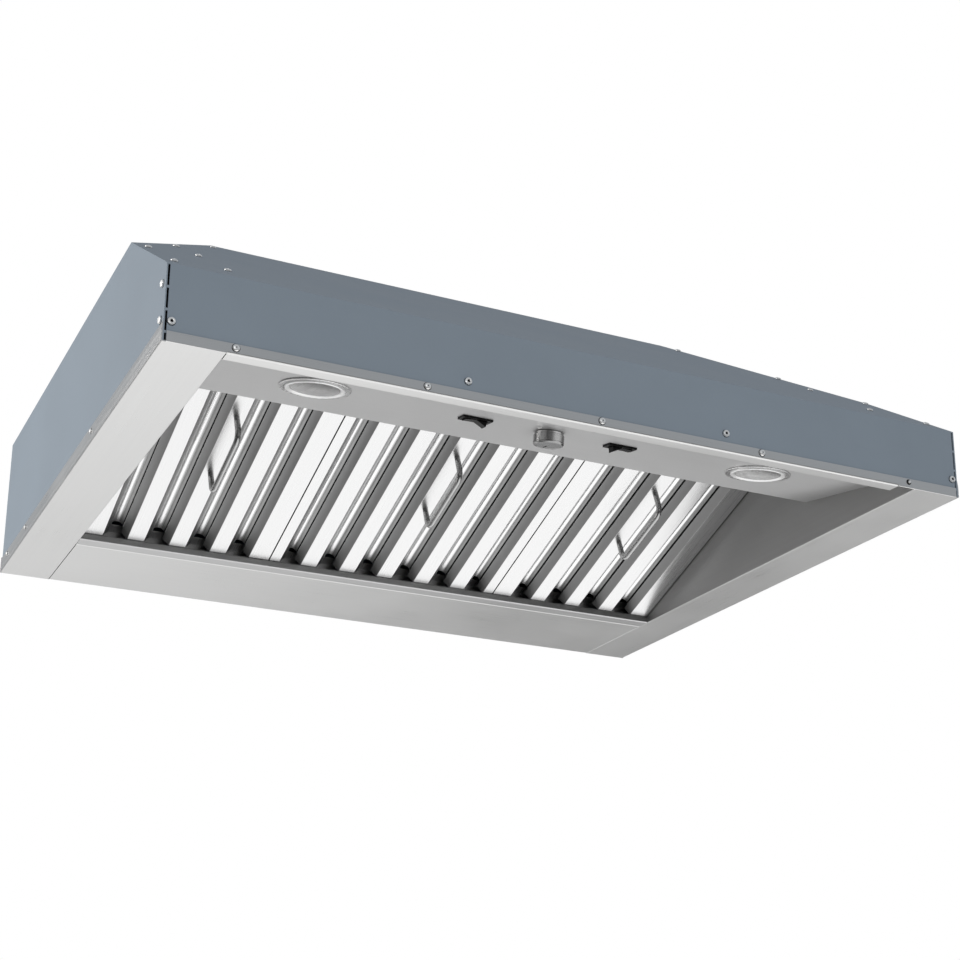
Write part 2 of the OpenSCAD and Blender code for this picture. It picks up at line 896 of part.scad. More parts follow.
module lamp_can(side) {
    inner_r = lamp_hole_r;
    color(dark_steel)
    at_lamp(side)
        rotate_extrude()
            polygon([[inner_r, sheet_t], [can_flange_r, sheet_t], [can_flange_r, 2 * sheet_t],
                [can_r, 2 * sheet_t], [can_r, lamp_can_h], [0, lamp_can_h],
                [0, bulb_z + bulb_h], [holder_r, bulb_z + bulb_h],
                [holder_r, lamp_can_h - sheet_t], [inner_r, lamp_can_h - sheet_t]]);
}

module left_lamp_bezel() { lamp_bezel(-1); }
module right_lamp_bezel() { lamp_bezel(1); }
module left_lamp_lens() { lamp_lens(-1); }
module right_lamp_lens() { lamp_lens(1); }
module left_lamp_bulb() { lamp_bulb(-1); }
module right_lamp_bulb() { lamp_bulb(1); }
module left_lamp_can() { lamp_can(-1); }
module right_lamp_can() { lamp_can(1); }

// Switches and speed control

switch_rim_t = 2.2;
switch_body_h = 20;
rocker_pivot_z = 2;
rocker_tilt = 11;
rocker_l = 23.2;
rocker_tip = 5.8;
rocker_dish = 2.6;
rocker_back = 3;
trunnion_r = 1.2;
terminal_w = 4.8;
terminal_t = 0.8;
terminal_h = 8;
switch_wall = 1.2;

module switch_body(side) {
    in_w = switch_body_w - 2 * switch_wall;
    in_d = switch_body_d - 2 * switch_wall;
    color(black)
    at_switch(side)
        difference() {
            union() {
                block([-switch_w / 2, -switch_d / 2, -switch_rim_t], [switch_w / 2, switch_d / 2, 0]);
                block([-switch_body_w / 2 + run_gap, -switch_body_d / 2 + run_gap, -cut],
                    [switch_body_w / 2 - run_gap, switch_body_d / 2 - run_gap, switch_body_h]);
                for (i = [-1, 0, 1])
                    translate([i * terminal_h, 0, 0])
                        block([-terminal_t / 2, -terminal_w / 2, switch_body_h - cut],
                            [terminal_t / 2, terminal_w / 2, switch_body_h + terminal_h]);
            }
            block([-in_w / 2, -in_d / 2, -switch_rim_t - cut], [in_w / 2, in_d / 2, switch_body_h - 2 * cut]);
            translate([0, 0, rocker_pivot_z])
                rotate([90, 0, 0])
                    cylinder(r = trunnion_r + pin_fit, h = in_d + switch_wall, center = true);
        }
}

// Rocker with its raised end toward the knob
module rocker(side) {
    in_d = switch_body_d - 2 * switch_wall;
    d = in_d - 2 * run_gap;
    l = rocker_l / 2;
    color(black)
    at_switch(side)
        translate([0, 0, rocker_pivot_z])
            rotate([0, -side * rocker_tilt, 0]) {
                translate([0, d / 2, -rocker_pivot_z])
                    rotate([90, 0, 0])
                        linear_extrude(d)
                            polygon([[-l, rocker_back], [-l, -rocker_tip], [0, -rocker_dish],
                                [l, -rocker_tip], [l, rocker_back], [0, rocker_back + 2 * trunnion_r]]);
                rotate([90, 0, 0])
                    cylinder(r = trunnion_r, h = in_d + switch_wall - 2 * run_gap, center = true);
            }
}

module left_switch_body() { switch_body(-1); }
module right_switch_body() { switch_body(1); }
module left_rocker() { rocker(-1); }
module right_rocker() { rocker(1); }

knob_gap = 0.5;
knob_edge = 1.4;
knob_dish = 0.4;
recess_gap = 2;
control_shaft_r = 3;
nut_r = 7;
nut_t = 2;
control_w = 34;
control_h = 26;
shaft_in_knob = 9;
shaft_in_body = 14;

module speed_knob() {
    r = knob_d / 2;
    recess_r = nut_r + recess_gap;
    color(rim_steel)
    at_knob()
        difference() {
            rotate_extrude($fn = 96)
                polygon([[0, -knob_gap - knob_h + knob_dish], [r - 4 * knob_edge, -knob_gap - knob_h + knob_dish],
                    [r - 3 * knob_edge, -knob_gap - knob_h], [r - knob_edge, -knob_gap - knob_h],
                    [r, -knob_gap - knob_h + knob_edge], [r, -knob_gap],
                    [recess_r, -knob_gap], [recess_r, -knob_gap - nut_t - run_gap],
                    [control_shaft_r + pin_fit, -knob_gap - nut_t - run_gap],
                    [control_shaft_r + pin_fit, -knob_gap - shaft_in_knob - pin_fit],
                    [0, -knob_gap - shaft_in_knob - pin_fit]]);
            // pointer groove in the face
            block([-knob_edge / 2, r / 2, -knob_gap - knob_h - cut],
                [knob_edge / 2, r + cut, -knob_gap - knob_h + knob_edge / 2]);
        }
}

module speed_control() {
    bush_r = control_hole_r - run_gap;
    color(dark_steel)
    at_knob()
        difference() {
            union() {
                block([-control_w / 2, -control_w / 2, sheet_t],
                    [control_w / 2, control_w / 2, sheet_t + control_h]);
                translate([0, 0, -nut_t])
                    cylinder(r = bush_r, h = nut_t + sheet_t + cut);
                translate([0, 0, -nut_t])
                    cylinder(r = nut_r, h = nut_t, $fn = 6);
            }
            translate([0, 0, -nut_t - cut])
                cylinder(r = control_shaft_r + pin_fit, h = nut_t + shaft_in_body + cut + run_gap);
        }
}

module control_shaft() {
    color(dark_steel)
    at_knob()
        translate([0, 0, -knob_gap - shaft_in_knob])
            cylinder(r = control_shaft_r, h = knob_gap + shaft_in_knob + shaft_in_body);
}

// Blower

tongue_h = 28;
inlet_step = 18;
inlet_r = wheel_r - inlet_step;
inlet_lip = 8;
scroll_min = wheel_r + wheel_gap;
scroll_max = outlet_d;
scroll_step_angle = 10;
wheel_y = duct_y - outlet_d / 2;
mouth_z = top_h - sheet_t;
wheel_z = mouth_z - tongue_h - scroll_min;
mouth_up = mouth_z - wheel_z;
mouth_flange = 14;
blade_count = 36;
blade_l = 12;
blade_t = 0.8;
blade_angle = 35;
blade_in_share = 0.58;
wheel_ring_w = 13;
ring_in_r = wheel_r - wheel_ring_w;
wheel_sheet = 1.5;
hub_r = 12;
hub_l = 44;
motor_r = 46;
motor_gap = 22;
motor_x = outlet_w / 2 + motor_gap;
motor_l = 85;
motor_cap_r = 20;
shaft_in_motor = 60;
bracket_w = 16;
bracket_out = 10;
bracket_r = inlet_r + bracket_out;
bracket_foot = 12;

module at_wheel() {
    translate([0, wheel_y, wheel_z])
        children();
}

// Scroll radius at an angle from the tongue, down the front side
function scroll_r(a) = scroll_min + (scroll_max - scroll_min) * a / 270;
function scroll_pt(a, o) = [-(scroll_r(a) + o) * sin(a), (scroll_r(a) + o) * cos(a)];
scroll_inner = concat([[0, mouth_up]], [for (a = [0:scroll_step_angle:270]) scroll_pt(a, 0)],
    [[scroll_max, mouth_up]]);
scroll_outer = concat([[-sheet_t, mouth_up], [-sheet_t, scroll_min + sheet_t]],
    [for (a = [scroll_step_angle:scroll_step_angle:270]) scroll_pt(a, sheet_t)],
    [[scroll_max + sheet_t, mouth_up]]);

module blower_scroll() {
    w = outlet_w - 2 * sheet_t;
    color(dark_steel)
    at_wheel() {
        along_x(w)
            difference() {
                polygon(scroll_outer);
                polygon(concat([[0, mouth_up + cut]], scroll_inner, [[scroll_max, mouth_up + cut]]));
            }
        block([-w / 2, -sheet_t - mouth_flange, mouth_up - sheet_t], [w / 2, -sheet_t, mouth_up]);
        block([-w / 2, scroll_max + sheet_t, mouth_up - sheet_t],
            [w / 2, scroll_max + sheet_t + mouth_flange, mouth_up]);
    }
}

module blower_side(side) {
    x0 = outlet_w / 2 - sheet_t;
    color(dark_steel)
    at_wheel()
        on_side(side)
            difference() {
                union() {
                    translate([x0 + sheet_t / 2, 0, 0])
                        along_x(sheet_t)
                            polygon(scroll_outer);
                    translate([x0, 0, 0])
                        rotate([0, 90, 0])
                            cylinder(r = inlet_r + sheet_t, h = inlet_lip);
                    block([x0, -sheet_t, mouth_up - sheet_t],
                        [x0 + mouth_flange, scroll_max + sheet_t, mouth_up]);
                }
                translate([x0 - cut, 0, 0])
                    rotate([0, 90, 0])
                        cylinder(r = inlet_r, h = inlet_lip + 2 * cut);
            }
}

module left_blower_side() { blower_side(-1); }
module right_blower_side() { blower_side(1); }

module blower_wheel() {
    color(rim_steel)
    at_wheel()
        rotate([0, 90, 0])
            difference() {
                union() {
                    for (z = [-wheel_w / 2, wheel_w / 2 - wheel_sheet])
                        translate([0, 0, z])
                            difference() {
                                cylinder(r = wheel_r, h = wheel_sheet);
                                translate([0, 0, -cut])
                                    cylinder(r = ring_in_r, h = wheel_sheet + 2 * cut);
                            }
                    translate([0, 0, -wheel_sheet / 2])
                        cylinder(r = wheel_r, h = wheel_sheet);
                    cylinder(r = hub_r, h = hub_l, center = true);
                    for (i = [0:blade_count - 1])
                        rotate([0, 0, i * 360 / blade_count])
                            translate([wheel_r - blade_l * blade_in_share, 0, 0])
                                rotate([0, 0, blade_angle])
                                    cube([blade_l, blade_t, wheel_w - wheel_sheet], center = true);
                }
                cylinder(r = shaft_r + pin_fit, h = hub_l + 2 * cut, center = true);
            }
}

module blower_shaft() {
    color(rim_steel)
    at_wheel()
        translate([-hub_l / 2, 0, 0])
            rotate([0, 90, 0])
                cylinder(r = shaft_r, h = hub_l / 2 + motor_x + shaft_in_motor);
}

module blower_motor() {
    cap = motor_l / 10;
    color(black)
    at_wheel()
        translate([motor_x, 0, 0])
            rotate([0, 90, 0])
                difference() {
                    rotate_extrude()
                        polygon([[0, 0], [motor_cap_r, 0], [motor_cap_r, cap], [motor_r - cap, cap],
                            [motor_r, 2 * cap], [motor_r, motor_l - cap], [motor_r - cap, motor_l],
                            [0, motor_l]]);
                    translate([0, 0, -cut])
                        cylinder(r = shaft_r + pin_fit, h = shaft_in_motor + cut + run_gap);
                }
}

module motor_bracket() {
    plate_x = outlet_w / 2;
    clamp_x = motor_x + 2 * motor_l / 10;
    ring_r = motor_r + pin_fit;
    color(dark_steel)
    at_wheel() {
        translate([clamp_x, 0, 0])
            rotate([0, 90, 0])
                difference() {
                    cylinder(r = ring_r + 3 * sheet_t, h = bracket_w);
                    translate([0, 0, -cut])
                        cylinder(r = ring_r, h = bracket_w + 2 * cut);
                }
        for (i = [0:2])
            rotate([i * 120 + 60, 0, 0]) {
                block([clamp_x, -bracket_w / 2, ring_r + sheet_t],
                    [clamp_x + 2 * sheet_t, bracket_w / 2, bracket_r + 2 * sheet_t]);
                block([plate_x, -bracket_w / 2, bracket_r],
                    [clamp_x + 2 * sheet_t, bracket_w / 2, bracket_r + 2 * sheet_t]);
                block([plate_x, -bracket_w / 2, bracket_r],
                    [plate_x + 2 * sheet_t, bracket_w / 2, bracket_r + bracket_foot]);
            }
    }
}

// Duct

damper_z = 14;
damper_edge_gap = 2.2;
damper_r = collar_r - sheet_t - damper_edge_gap;
damper_t = 1;
damper_pin_r = 2;
sleeve_r = 3.6;
knuckles = [[20, 60]];
rear_knuckles = [[-16, 16], [64, 88]];
stop_w = 8;
damper_gap = 4.4;
stop_angles = [45, 135, 225, 315];

module at_damper() {
    translate([0, duct_y, top_h + damper_z])
        children();
}

module duct_collar() {
    tube_in = collar_r - sheet_t;
    color(rim_steel)
    difference() {
        union() {
            translate([0, duct_y, top_h])
                difference() {
                    union() {
                        cylinder(r = collar_r, h = collar_h, $fn = 96);
                        cylinder(r = collar_r + collar_flange_w, h = sheet_t, $fn = 96);
                    }
                    translate([0, 0, -cut])
                        cylinder(r = tube_in, h = collar_h + 2 * cut, $fn = 96);
                }
            // stops under the flaps' edges
            at_damper()
                for (a = stop_angles)
                    rotate([0, 0, a])
                        block([damper_r - stop_w / 2, -stop_w / 2, -damper_t / 2 - run_gap - sheet_t],
                            [tube_in + sheet_t / 2, stop_w / 2, -damper_t / 2 - run_gap]);
        }
        at_damper()
            rotate([0, 90, 0])
                cylinder(r = damper_pin_r + pin_fit, h = 2 * collar_r + 2 * cut, center = true);
        collar_screw_places()
            hole(small_hole_r);
        collar_screw_places()
            cylinder(r = small_hole_r, h = 2 * sheet_t);
    }
}

// Half a disc on its side of the pin, with its sleeves round the pin
module damper_flap(side, spans) {
    color(rim_steel)
    at_damper()
        difference() {
            union() {
                intersection() {
                    cylinder(r = damper_r, h = damper_t, center = true, $fn = 96);
                    translate([0, side * (damper_gap + damper_r / 2), 0])
                        cube([2 * damper_r, damper_r, 2 * damper_t], center = true);
                }
                for (s = spans)
                    translate([s[0], 0, 0]) {
                        rotate([0, 90, 0])
                            cylinder(r = sleeve_r, h = s[1] - s[0]);
                        translate([0, side > 0 ? 0 : -damper_gap - damper_t, -damper_t / 2])
                            cube([s[1] - s[0], damper_gap + damper_t, damper_t]);
                    }
            }
            rotate([0, 90, 0])
                cylinder(r = damper_pin_r + pin_fit, h = 2 * damper_r, center = true);
        }
}

module front_damper_flap() {
    damper_flap(-1, concat(knuckles, [for (k = knuckles) [-k[1], -k[0]]]));
}

module rear_damper_flap() {
    damper_flap(1, concat(rear_knuckles, [[-rear_knuckles[1][1], -rear_knuckles[1][0]]]));
}

module damper_pin() {
    color(dark_steel)
    at_damper()
        rotate([0, 90, 0])
            cylinder(r = damper_pin_r, h = 2 * collar_r, center = true);
}

box_size = [100, 70, 45];
module junction_box() {
    half = [box_size[0] / 2, box_size[1] / 2, 0];
    color(dark_steel)
    translate([conduit_x, conduit_y, mouth_z])
        difference() {
            block([-half[0], -half[1], -box_size[2]], [half[0], half[1], 0]);
            block([-half[0] + sheet_t, -half[1] + sheet_t, -box_size[2] + sheet_t],
                [half[0] - sheet_t, half[1] - sheet_t, -sheet_t]);
            hole(conduit_r, 2 * sheet_t);
        }
}

// Screws

module big_screw(reach) { pan_screw(screw_head_r, screw_head_h, screw_r, reach); }
module small_screw(reach) { pan_screw(small_head_r, small_head_h, small_screw_r, reach); }

module front_face_screws() {
    color(rim_steel) {
        front_face_places()
            big_screw(3 * sheet_t);
        corner_places()
            big_screw(3 * sheet_t);
    }
}

module lip_screws() {
    color(rim_steel)
    lip_places()
        big_screw(3 * sheet_t);
}

module side_screws() {
    color(rim_steel) {
        rim_side_places()
            small_screw(3 * sheet_t);
        translate([0, 0, sheet_t])
            collar_screw_places()
                small_screw(3 * sheet_t);
    }
}

module slope_screws() {
    color(rim_steel)
    slope_places()
        big_screw(3 * sheet_t);
}

front_panel();
left_side_panel();
right_side_panel();
left_roof_panel();
right_roof_panel();
top_panel();
rear_panel();
left_corner_angle();
right_corner_angle();
front_rim();
left_rim_flange();
right_rim_flange();
rear_pan();
grease_trough();
left_inner_wall();
right_inner_wall();
control_panel();
left_filter_frame();
middle_filter_frame();
right_filter_frame();
left_front_baffles();
middle_front_baffles();
right_front_baffles();
left_rear_baffles();
middle_rear_baffles();
right_rear_baffles();
left_filter_handle();
middle_filter_handle();
right_filter_handle();
left_lamp_bezel();
right_lamp_bezel();
left_lamp_lens();
right_lamp_lens();
left_lamp_bulb();
right_lamp_bulb();
left_lamp_can();
right_lamp_can();
left_switch_body();
right_switch_body();
left_rocker();
right_rocker();
speed_knob();
speed_control();
control_shaft();
blower_scroll();
left_blower_side();
right_blower_side();
blower_wheel();
blower_shaft();
blower_motor();
motor_bracket();
duct_collar();
front_damper_flap();
rear_damper_flap();
damper_pin();
junction_box();
front_face_screws();
lip_screws();
side_screws();
slope_screws();
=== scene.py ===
import math

import bmesh
import bpy
from mathutils import Matrix, Vector


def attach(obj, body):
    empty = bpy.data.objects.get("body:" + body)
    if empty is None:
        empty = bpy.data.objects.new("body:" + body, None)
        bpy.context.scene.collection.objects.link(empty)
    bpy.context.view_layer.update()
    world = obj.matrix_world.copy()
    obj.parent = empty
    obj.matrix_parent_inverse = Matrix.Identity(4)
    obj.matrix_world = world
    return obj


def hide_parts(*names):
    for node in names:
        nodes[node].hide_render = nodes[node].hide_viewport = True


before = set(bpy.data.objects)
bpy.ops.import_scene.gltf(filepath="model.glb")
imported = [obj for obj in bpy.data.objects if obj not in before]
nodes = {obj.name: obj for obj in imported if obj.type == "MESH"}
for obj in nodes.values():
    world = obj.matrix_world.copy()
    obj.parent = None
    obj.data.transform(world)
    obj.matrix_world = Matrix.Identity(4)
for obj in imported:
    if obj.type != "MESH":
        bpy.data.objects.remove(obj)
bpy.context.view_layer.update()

MM = 0.001
TOUCH = 1e-6  # metres: corners closer than this are one corner
X_AXIS, Y_AXIS = 0, 1
SIDES = (("left", -1), ("right", 1))
FILTERS = ("left", "middle", "right")

# ---------------------------------------------------------------- node helper


class Graph:
    """A few short calls for building a shader."""

    def __init__(self, tree):
        self.tree = tree
        tree.nodes.clear()

    def add(self, kind, inputs=None, **settings):
        node = self.tree.nodes.new(kind)
        for key, value in settings.items():
            setattr(node, key, value)
        for key, value in (inputs or {}).items():
            self.put(node.inputs[key], value)
        return node

    def put(self, socket, value):
        if isinstance(value, bpy.types.NodeSocket):
            self.tree.links.new(value, socket)
        else:
            socket.default_value = value

    def texture(self, kind):
        return self.add("ShaderNodeTexCoord").outputs[kind]

    def coords(self, scale, tilt=0.0):
        """Object coordinates in metres, turned about X and stretched."""
        if not isinstance(scale, (list, tuple)):
            scale = (scale,) * 3
        turned = self.add(
            "ShaderNodeMapping", {"Vector": self.texture("Object"), "Rotation": (tilt, 0, 0)}
        )
        return self.add(
            "ShaderNodeMapping", {"Vector": turned.outputs[0], "Scale": tuple(scale)}
        ).outputs[0]

    def noise(self, scale, detail=3.0, roughness=0.5, tilt=0.0):
        """Noise with so many cells to the metre: one number, or one for each axis."""
        inputs = {"Vector": self.coords(scale, tilt), "Scale": 1.0}
        inputs.update({"Detail": detail, "Roughness": roughness})
        return self.add("ShaderNodeTexNoise", inputs).outputs["Fac"]

    def ramp(self, value, low, high, start=0.3, end=0.7):
        """Straight ramp from low at start to high at end."""
        inputs = {"Value": value, "From Min": start, "From Max": end}
        inputs.update({"To Min": low, "To Max": high})
        return self.add("ShaderNodeMapRange", inputs).outputs[0]

    def step(self, value, start, end):
        """Smooth step from 0 at start to 1 at end."""
        inputs = {"Value": value, "From Min": start, "From Max": end}
        inputs.update({"To Min": 0.0, "To Max": 1.0})
        return self.add(
            "ShaderNodeMapRange", inputs, interpolation_type="SMOOTHSTEP"
        ).outputs[0]

    def math(self, operation, a, b=None, clamp=False):
        node = self.add("ShaderNodeMath", operation=operation, use_clamp=clamp)
        self.put(node.inputs[0], a)
        if b is not None:
            self.put(node.inputs[1], b)
        return node.outputs[0]

    def plus(self, a, b):
        return self.math("ADD", a, b)

    def minus(self, a, b, clamp=False):
        return self.math("SUBTRACT", a, b, clamp)

    def times(self, a, b):
        return self.math("MULTIPLY", a, b)

    def vector(self, operation, a, b=None, output=0):
        node = self.add("ShaderNodeVectorMath", operation=operation)
        self.put(node.inputs[0], a)
        if b is not None:
            self.put(node.inputs[1], b)
        return node.outputs[output]

    def split(self, vector):
        """The X, Y and Z of a vector."""
        return self.add("ShaderNodeSeparateXYZ", {"Vector": vector}).outputs

    def tint(self, color, value):
        """A colour times a grey value."""
        node = self.add("ShaderNodeVectorMath", {"Scale": value}, operation="SCALE")
        self.put(node.inputs[0], color)
        return node.outputs[0]

    def bump(self, height, distance, strength):
        inputs = {"Height": height, "Distance": distance, "Strength": strength}
        return self.add("ShaderNodeBump", inputs).outputs[0]

    def mix(self, share, first, second):
        """The first shader where share is 0, the second where it is 1."""
        node = self.add("ShaderNodeMixShader", {0: share})
        self.put(node.inputs[1], first.outputs[0])
        self.put(node.inputs[2], second.outputs[0])
        return node

    def out(self, node, kind="ShaderNodeOutputMaterial"):
        self.put(self.add(kind).inputs[0], node.outputs[0])

    def shader(self, **inputs):
        """Principled surface: an underscore stands for a space in an input's name."""
        node = self.add("ShaderNodeBsdfPrincipled")
        for key, value in inputs.items():
            self.put(node.inputs[key.replace("_", " ")], value)
        self.out(node)


def new_material(name):
    made = bpy.data.materials.new(name)
    made.use_nodes = True
    return made, Graph(made.node_tree)


# ------------------------------------------------------------------ materials

# Places in the solids that a material has to know, in metres
FILTER_TILT = math.radians(20.7)
FILTER_ORIGIN = (0.0, 0.193, 0.008603)
KNOB_CENTRE = (0.0, -0.2504, 0.0355)
KNOB_AXIS = (0.0, 0.166769, -0.985996)
# Painted highlights: the knob's colour is brighter where it looks one of these ways
KNOB_HIGHLIGHT_WAYS = ((-0.84, -0.53, 0.0), (0.16, -0.98, 0.0), (0.0, 0.1668, -0.986))
# Knob colour share away from the painted highlights, and the painted highlight added on top
KNOB_GREY, KNOB_PAINTED_HIGHLIGHT = 0.5, 1.1
FLUTE_PITCH = 0.0026
# Painted shade on both lamp glasses fades from full to none between these places along y
GLASS_SHADED_Y, GLASS_UNSHADED_Y = -0.285, -0.245
RIM_STEEL = (0.64, 0.64, 0.635)
SMOOTH_CONTRAST = 0.02


def grey(value):
    return (value,) * 3


def paint(name, color, rough, grain=0.00003, speck=900, specular=0.5):
    """Sprayed enamel with a fine orange-peel and a little unevenness."""
    made, g = new_material(name)
    fine = g.noise(speck, detail=2)
    broad = g.noise(7, detail=4, roughness=0.6)
    shade = g.plus(g.ramp(broad, 0.965, 1.03), g.ramp(fine, -0.012, 0.012))
    g.shader(
        Base_Color=g.tint(color, shade),
        Roughness=g.plus(
            g.ramp(broad, rough - 0.04, rough + 0.05), g.ramp(fine, -0.02, 0.02)
        ),
        Specular_IOR_Level=specular,
        Normal=g.bump(fine, grain, 0.5),
    )
    return made


def brushed(
    name, color, rough, along, tilt=0.0, grain=0.000012, streak=1600, contrast=0.03, metallic=1.0
):
    """Steel brushed along one axis, with so many streaks to the metre across it."""
    made, g = new_material(name)

    def streaks(across, lengthwise, detail, roughness=0.5):
        scale = [across] * 3
        scale[along] = lengthwise
        return g.noise(scale, detail, roughness, tilt)

    lines = streaks(streak, 9, 3, 0.6)
    wide = streaks(streak / 5, 3, 2)
    smudge = g.noise(6, detail=4, roughness=0.6)
    uneven = g.plus(
        g.ramp(wide, -contrast / 2, contrast / 2), g.ramp(smudge, -0.01, 0.01)
    )
    g.shader(
        Base_Color=g.tint(color, g.plus(g.ramp(lines, 1 - contrast, 1 + contrast), uneven)),
        Metallic=metallic,
        Roughness=g.plus(
            g.ramp(lines, rough - 0.05, rough + 0.05), g.ramp(smudge, -0.02, 0.03)
        ),
        Normal=g.bump(lines, grain, 0.6),
    )
    return made


def baffle_steel(name, value, rough):
    """Finely brushed steel along the filters' slope."""
    return brushed(
        name, grey(value), rough, Y_AXIS, FILTER_TILT, grain=4e-6, streak=2600, contrast=0.012
    )


def zinc(name, color, rough):
    """Galvanised sheet with its spangle."""
    made, g = new_material(name)
    cells = g.add("ShaderNodeTexVoronoi", {"Vector": g.coords(110), "Scale": 1.0})
    tone = g.add("ShaderNodeSeparateColor", {"Color": cells.outputs["Color"]}).outputs[0]
    fine = g.noise(600)
    g.shader(
        Base_Color=g.tint(color, g.plus(g.ramp(tone, 0.86, 1.1, 0, 1), g.ramp(fine, -0.03, 0.03))),
        Metallic=1.0,
        Roughness=g.plus(
            g.ramp(tone, rough - 0.07, rough + 0.1, 0, 1), g.ramp(fine, -0.03, 0.03)
        ),
        Normal=g.bump(fine, 0.00002, 0.4),
    )
    return made


def polished(name, color, rough, scale=260, metallic=1.0):
    """Smooth drawn or plated metal with faint scratches."""
    made, g = new_material(name)
    marks = g.noise((scale, scale * 0.15, scale), detail=4, roughness=0.65)
    cloud = g.noise(45)
    g.shader(
        Base_Color=g.tint(color, g.ramp(marks, 0.95, 1.04)),
        Metallic=metallic,
        Roughness=g.plus(
            g.ramp(marks, rough - 0.04, rough + 0.06), g.ramp(cloud, -0.02, 0.04)
        ),
        Normal=g.bump(marks, 0.00001, 0.5),
    )
    return made


def moulded(name, color, rough, specular=0.45):
    """A matt surface with a fine grain, such as moulded plastic."""
    made, g = new_material(name)
    grain = g.noise(2600, detail=2)
    cloud = g.noise(60)
    g.shader(
        Base_Color=g.tint(color, g.ramp(cloud, 0.85, 1.15)),
        Roughness=g.plus(
            g.ramp(grain, rough - 0.06, rough + 0.08), g.ramp(cloud, -0.03, 0.03)
        ),
        Specular_IOR_Level=specular,
        Normal=g.bump(grain, 0.00003, 0.5),
    )
    return made


def turned(name, centre, axis, bright, color, rough, pitch=0.00045):
    """Metal turned on a lathe: rings along the axis and around it, and painted highlights where it
    looks the bright ways.
    """
    made, g = new_material(name)
    place = g.vector("SUBTRACT", g.texture("Object"), centre)
    across = g.times(g.vector("DOT_PRODUCT", place, axis, "Value"), 2 * math.pi / pitch)
    radial = g.times(g.vector("LENGTH", place, output="Value"), 2 * math.pi / (pitch * 0.8))
    rings = g.times(g.plus(g.math("SINE", across), g.math("SINE", radial)), 0.25)
    height = g.plus(rings, g.times(g.noise(900), 0.2))
    painted_highlights = KNOB_GREY
    # Painted highlights: the colour brightens where the surface looks one of the bright ways
    for way in bright:
        facing = g.vector("DOT_PRODUCT", g.texture("Normal"), way, "Value")
        painted_highlights = g.plus(painted_highlights, g.times(g.step(facing, 0.88, 0.99), KNOB_PAINTED_HIGHLIGHT))
    g.shader(
        Base_Color=g.tint(color, g.times(g.ramp(height, 0.9, 1.08, 0, 0.7), painted_highlights)),
        Metallic=1.0,
        Roughness=g.ramp(height, rough - 0.03, rough + 0.05, 0, 0.7),
        Normal=g.bump(height, 0.000008, 0.6),
    )
    return made


def clear_glass(name, color, rough):
    """Pressed lamp glass: fluted, with faint waves, and painted shade in the flutes' grooves and
    towards the front.
    """
    made, g = new_material(name)
    wave = g.noise(220, detail=2)
    place = g.split(g.texture("Object"))
    flute = g.math("ABSOLUTE", g.math("SINE", g.times(place["X"], math.pi / FLUTE_PITCH)))
    # Painted shade: darker in the flutes' grooves and darkest towards the front
    shade = g.times(
        g.ramp(flute, 0.5, 1.0, 0, 0.7), g.step(place["Y"], GLASS_SHADED_Y, GLASS_UNSHADED_Y)
    )
    g.shader(
        Base_Color=g.tint(color, g.times(g.ramp(wave, 0.8, 1.05), g.plus(shade, 0.1))),
        Roughness=g.ramp(wave, rough, rough + 0.05),
        IOR=1.5,
        Transmission_Weight=0.5,
        Normal=g.bump(wave, 0.00004, 0.3),
    )
    return made


mat = {
    "shell": paint("shell_enamel", (0.274, 0.322, 0.372), 0.45, specular=0.14),
    "rim_x": brushed("rim_steel_across", RIM_STEEL, 0.32, X_AXIS, contrast=SMOOTH_CONTRAST),
    "rim_y": brushed("rim_steel_lengthwise", RIM_STEEL, 0.32, Y_AXIS, contrast=SMOOTH_CONTRAST),
    "panel": brushed(
        "panel_steel", grey(0.58), 0.46, X_AXIS, contrast=SMOOTH_CONTRAST, metallic=0.7
    ),
    "filter": baffle_steel("filter_steel", 0.69, 0.29),
    # Painted highlight: a brighter copy of the filter steel for the rear arches
    "highlit_arch": baffle_steel("highlit_arch_steel", 0.84, 0.27),
    # Painted shade: a darker, duller copy of the filter steel for the flanks, and near-black matt
    # inside the filters
    "shaded_flank": baffle_steel("shaded_flank_steel", 0.44, 0.42),
    "painted_shade": moulded("painted_shade_steel", grey(0.012), 0.8, 0.1),
    "wall": brushed("inner_wall_steel", grey(0.325), 0.46, Y_AXIS),
    "trough": brushed("trough_steel", grey(0.5), 0.36, X_AXIS),
    "wire": polished("handle_wire_steel", grey(0.42), 0.24),
    "bezel": polished("bezel_steel", grey(0.66), 0.26, 400),
    "bright": polished("ring_aluminium", grey(0.93), 0.36, 400, 0.5),
    "screw": polished("screw_nickel", (0.92, 0.92, 0.91), 0.34, 700, 0.75),
    "zinc": zinc("galvanised_sheet", (0.52, 0.53, 0.54), 0.38),
    "black": moulded("switch_plastic", grey(0.003), 0.3, 0.14),
    # Painted shadow for screw sockets, rings under the heads, the pin's opening, the knob's
    # pointer groove and the corner angles
    "recess": moulded("recess_shadow", (0.005, 0.005, 0.006), 0.8, 0.1),
    "knob": turned("knob_steel", KNOB_CENTRE, KNOB_AXIS, KNOB_HIGHLIGHT_WAYS, grey(0.62), 0.12),
    "motor": paint("motor_enamel", (0.03, 0.032, 0.035), 0.45, 0.00006, speck=500),
    "control": moulded("control_body_plastic", (0.03, 0.03, 0.032), 0.5),
    "glass": clear_glass("lamp_glass", grey(0.97), 0.04),
    "mirror": polished("reflector_aluminium", grey(0.95), 0.3, 300),
    "frost": moulded("capsule_frost", (0.82, 0.82, 0.79), 0.3),
}

# ------------------------------------------------------- looks of the CAD nodes

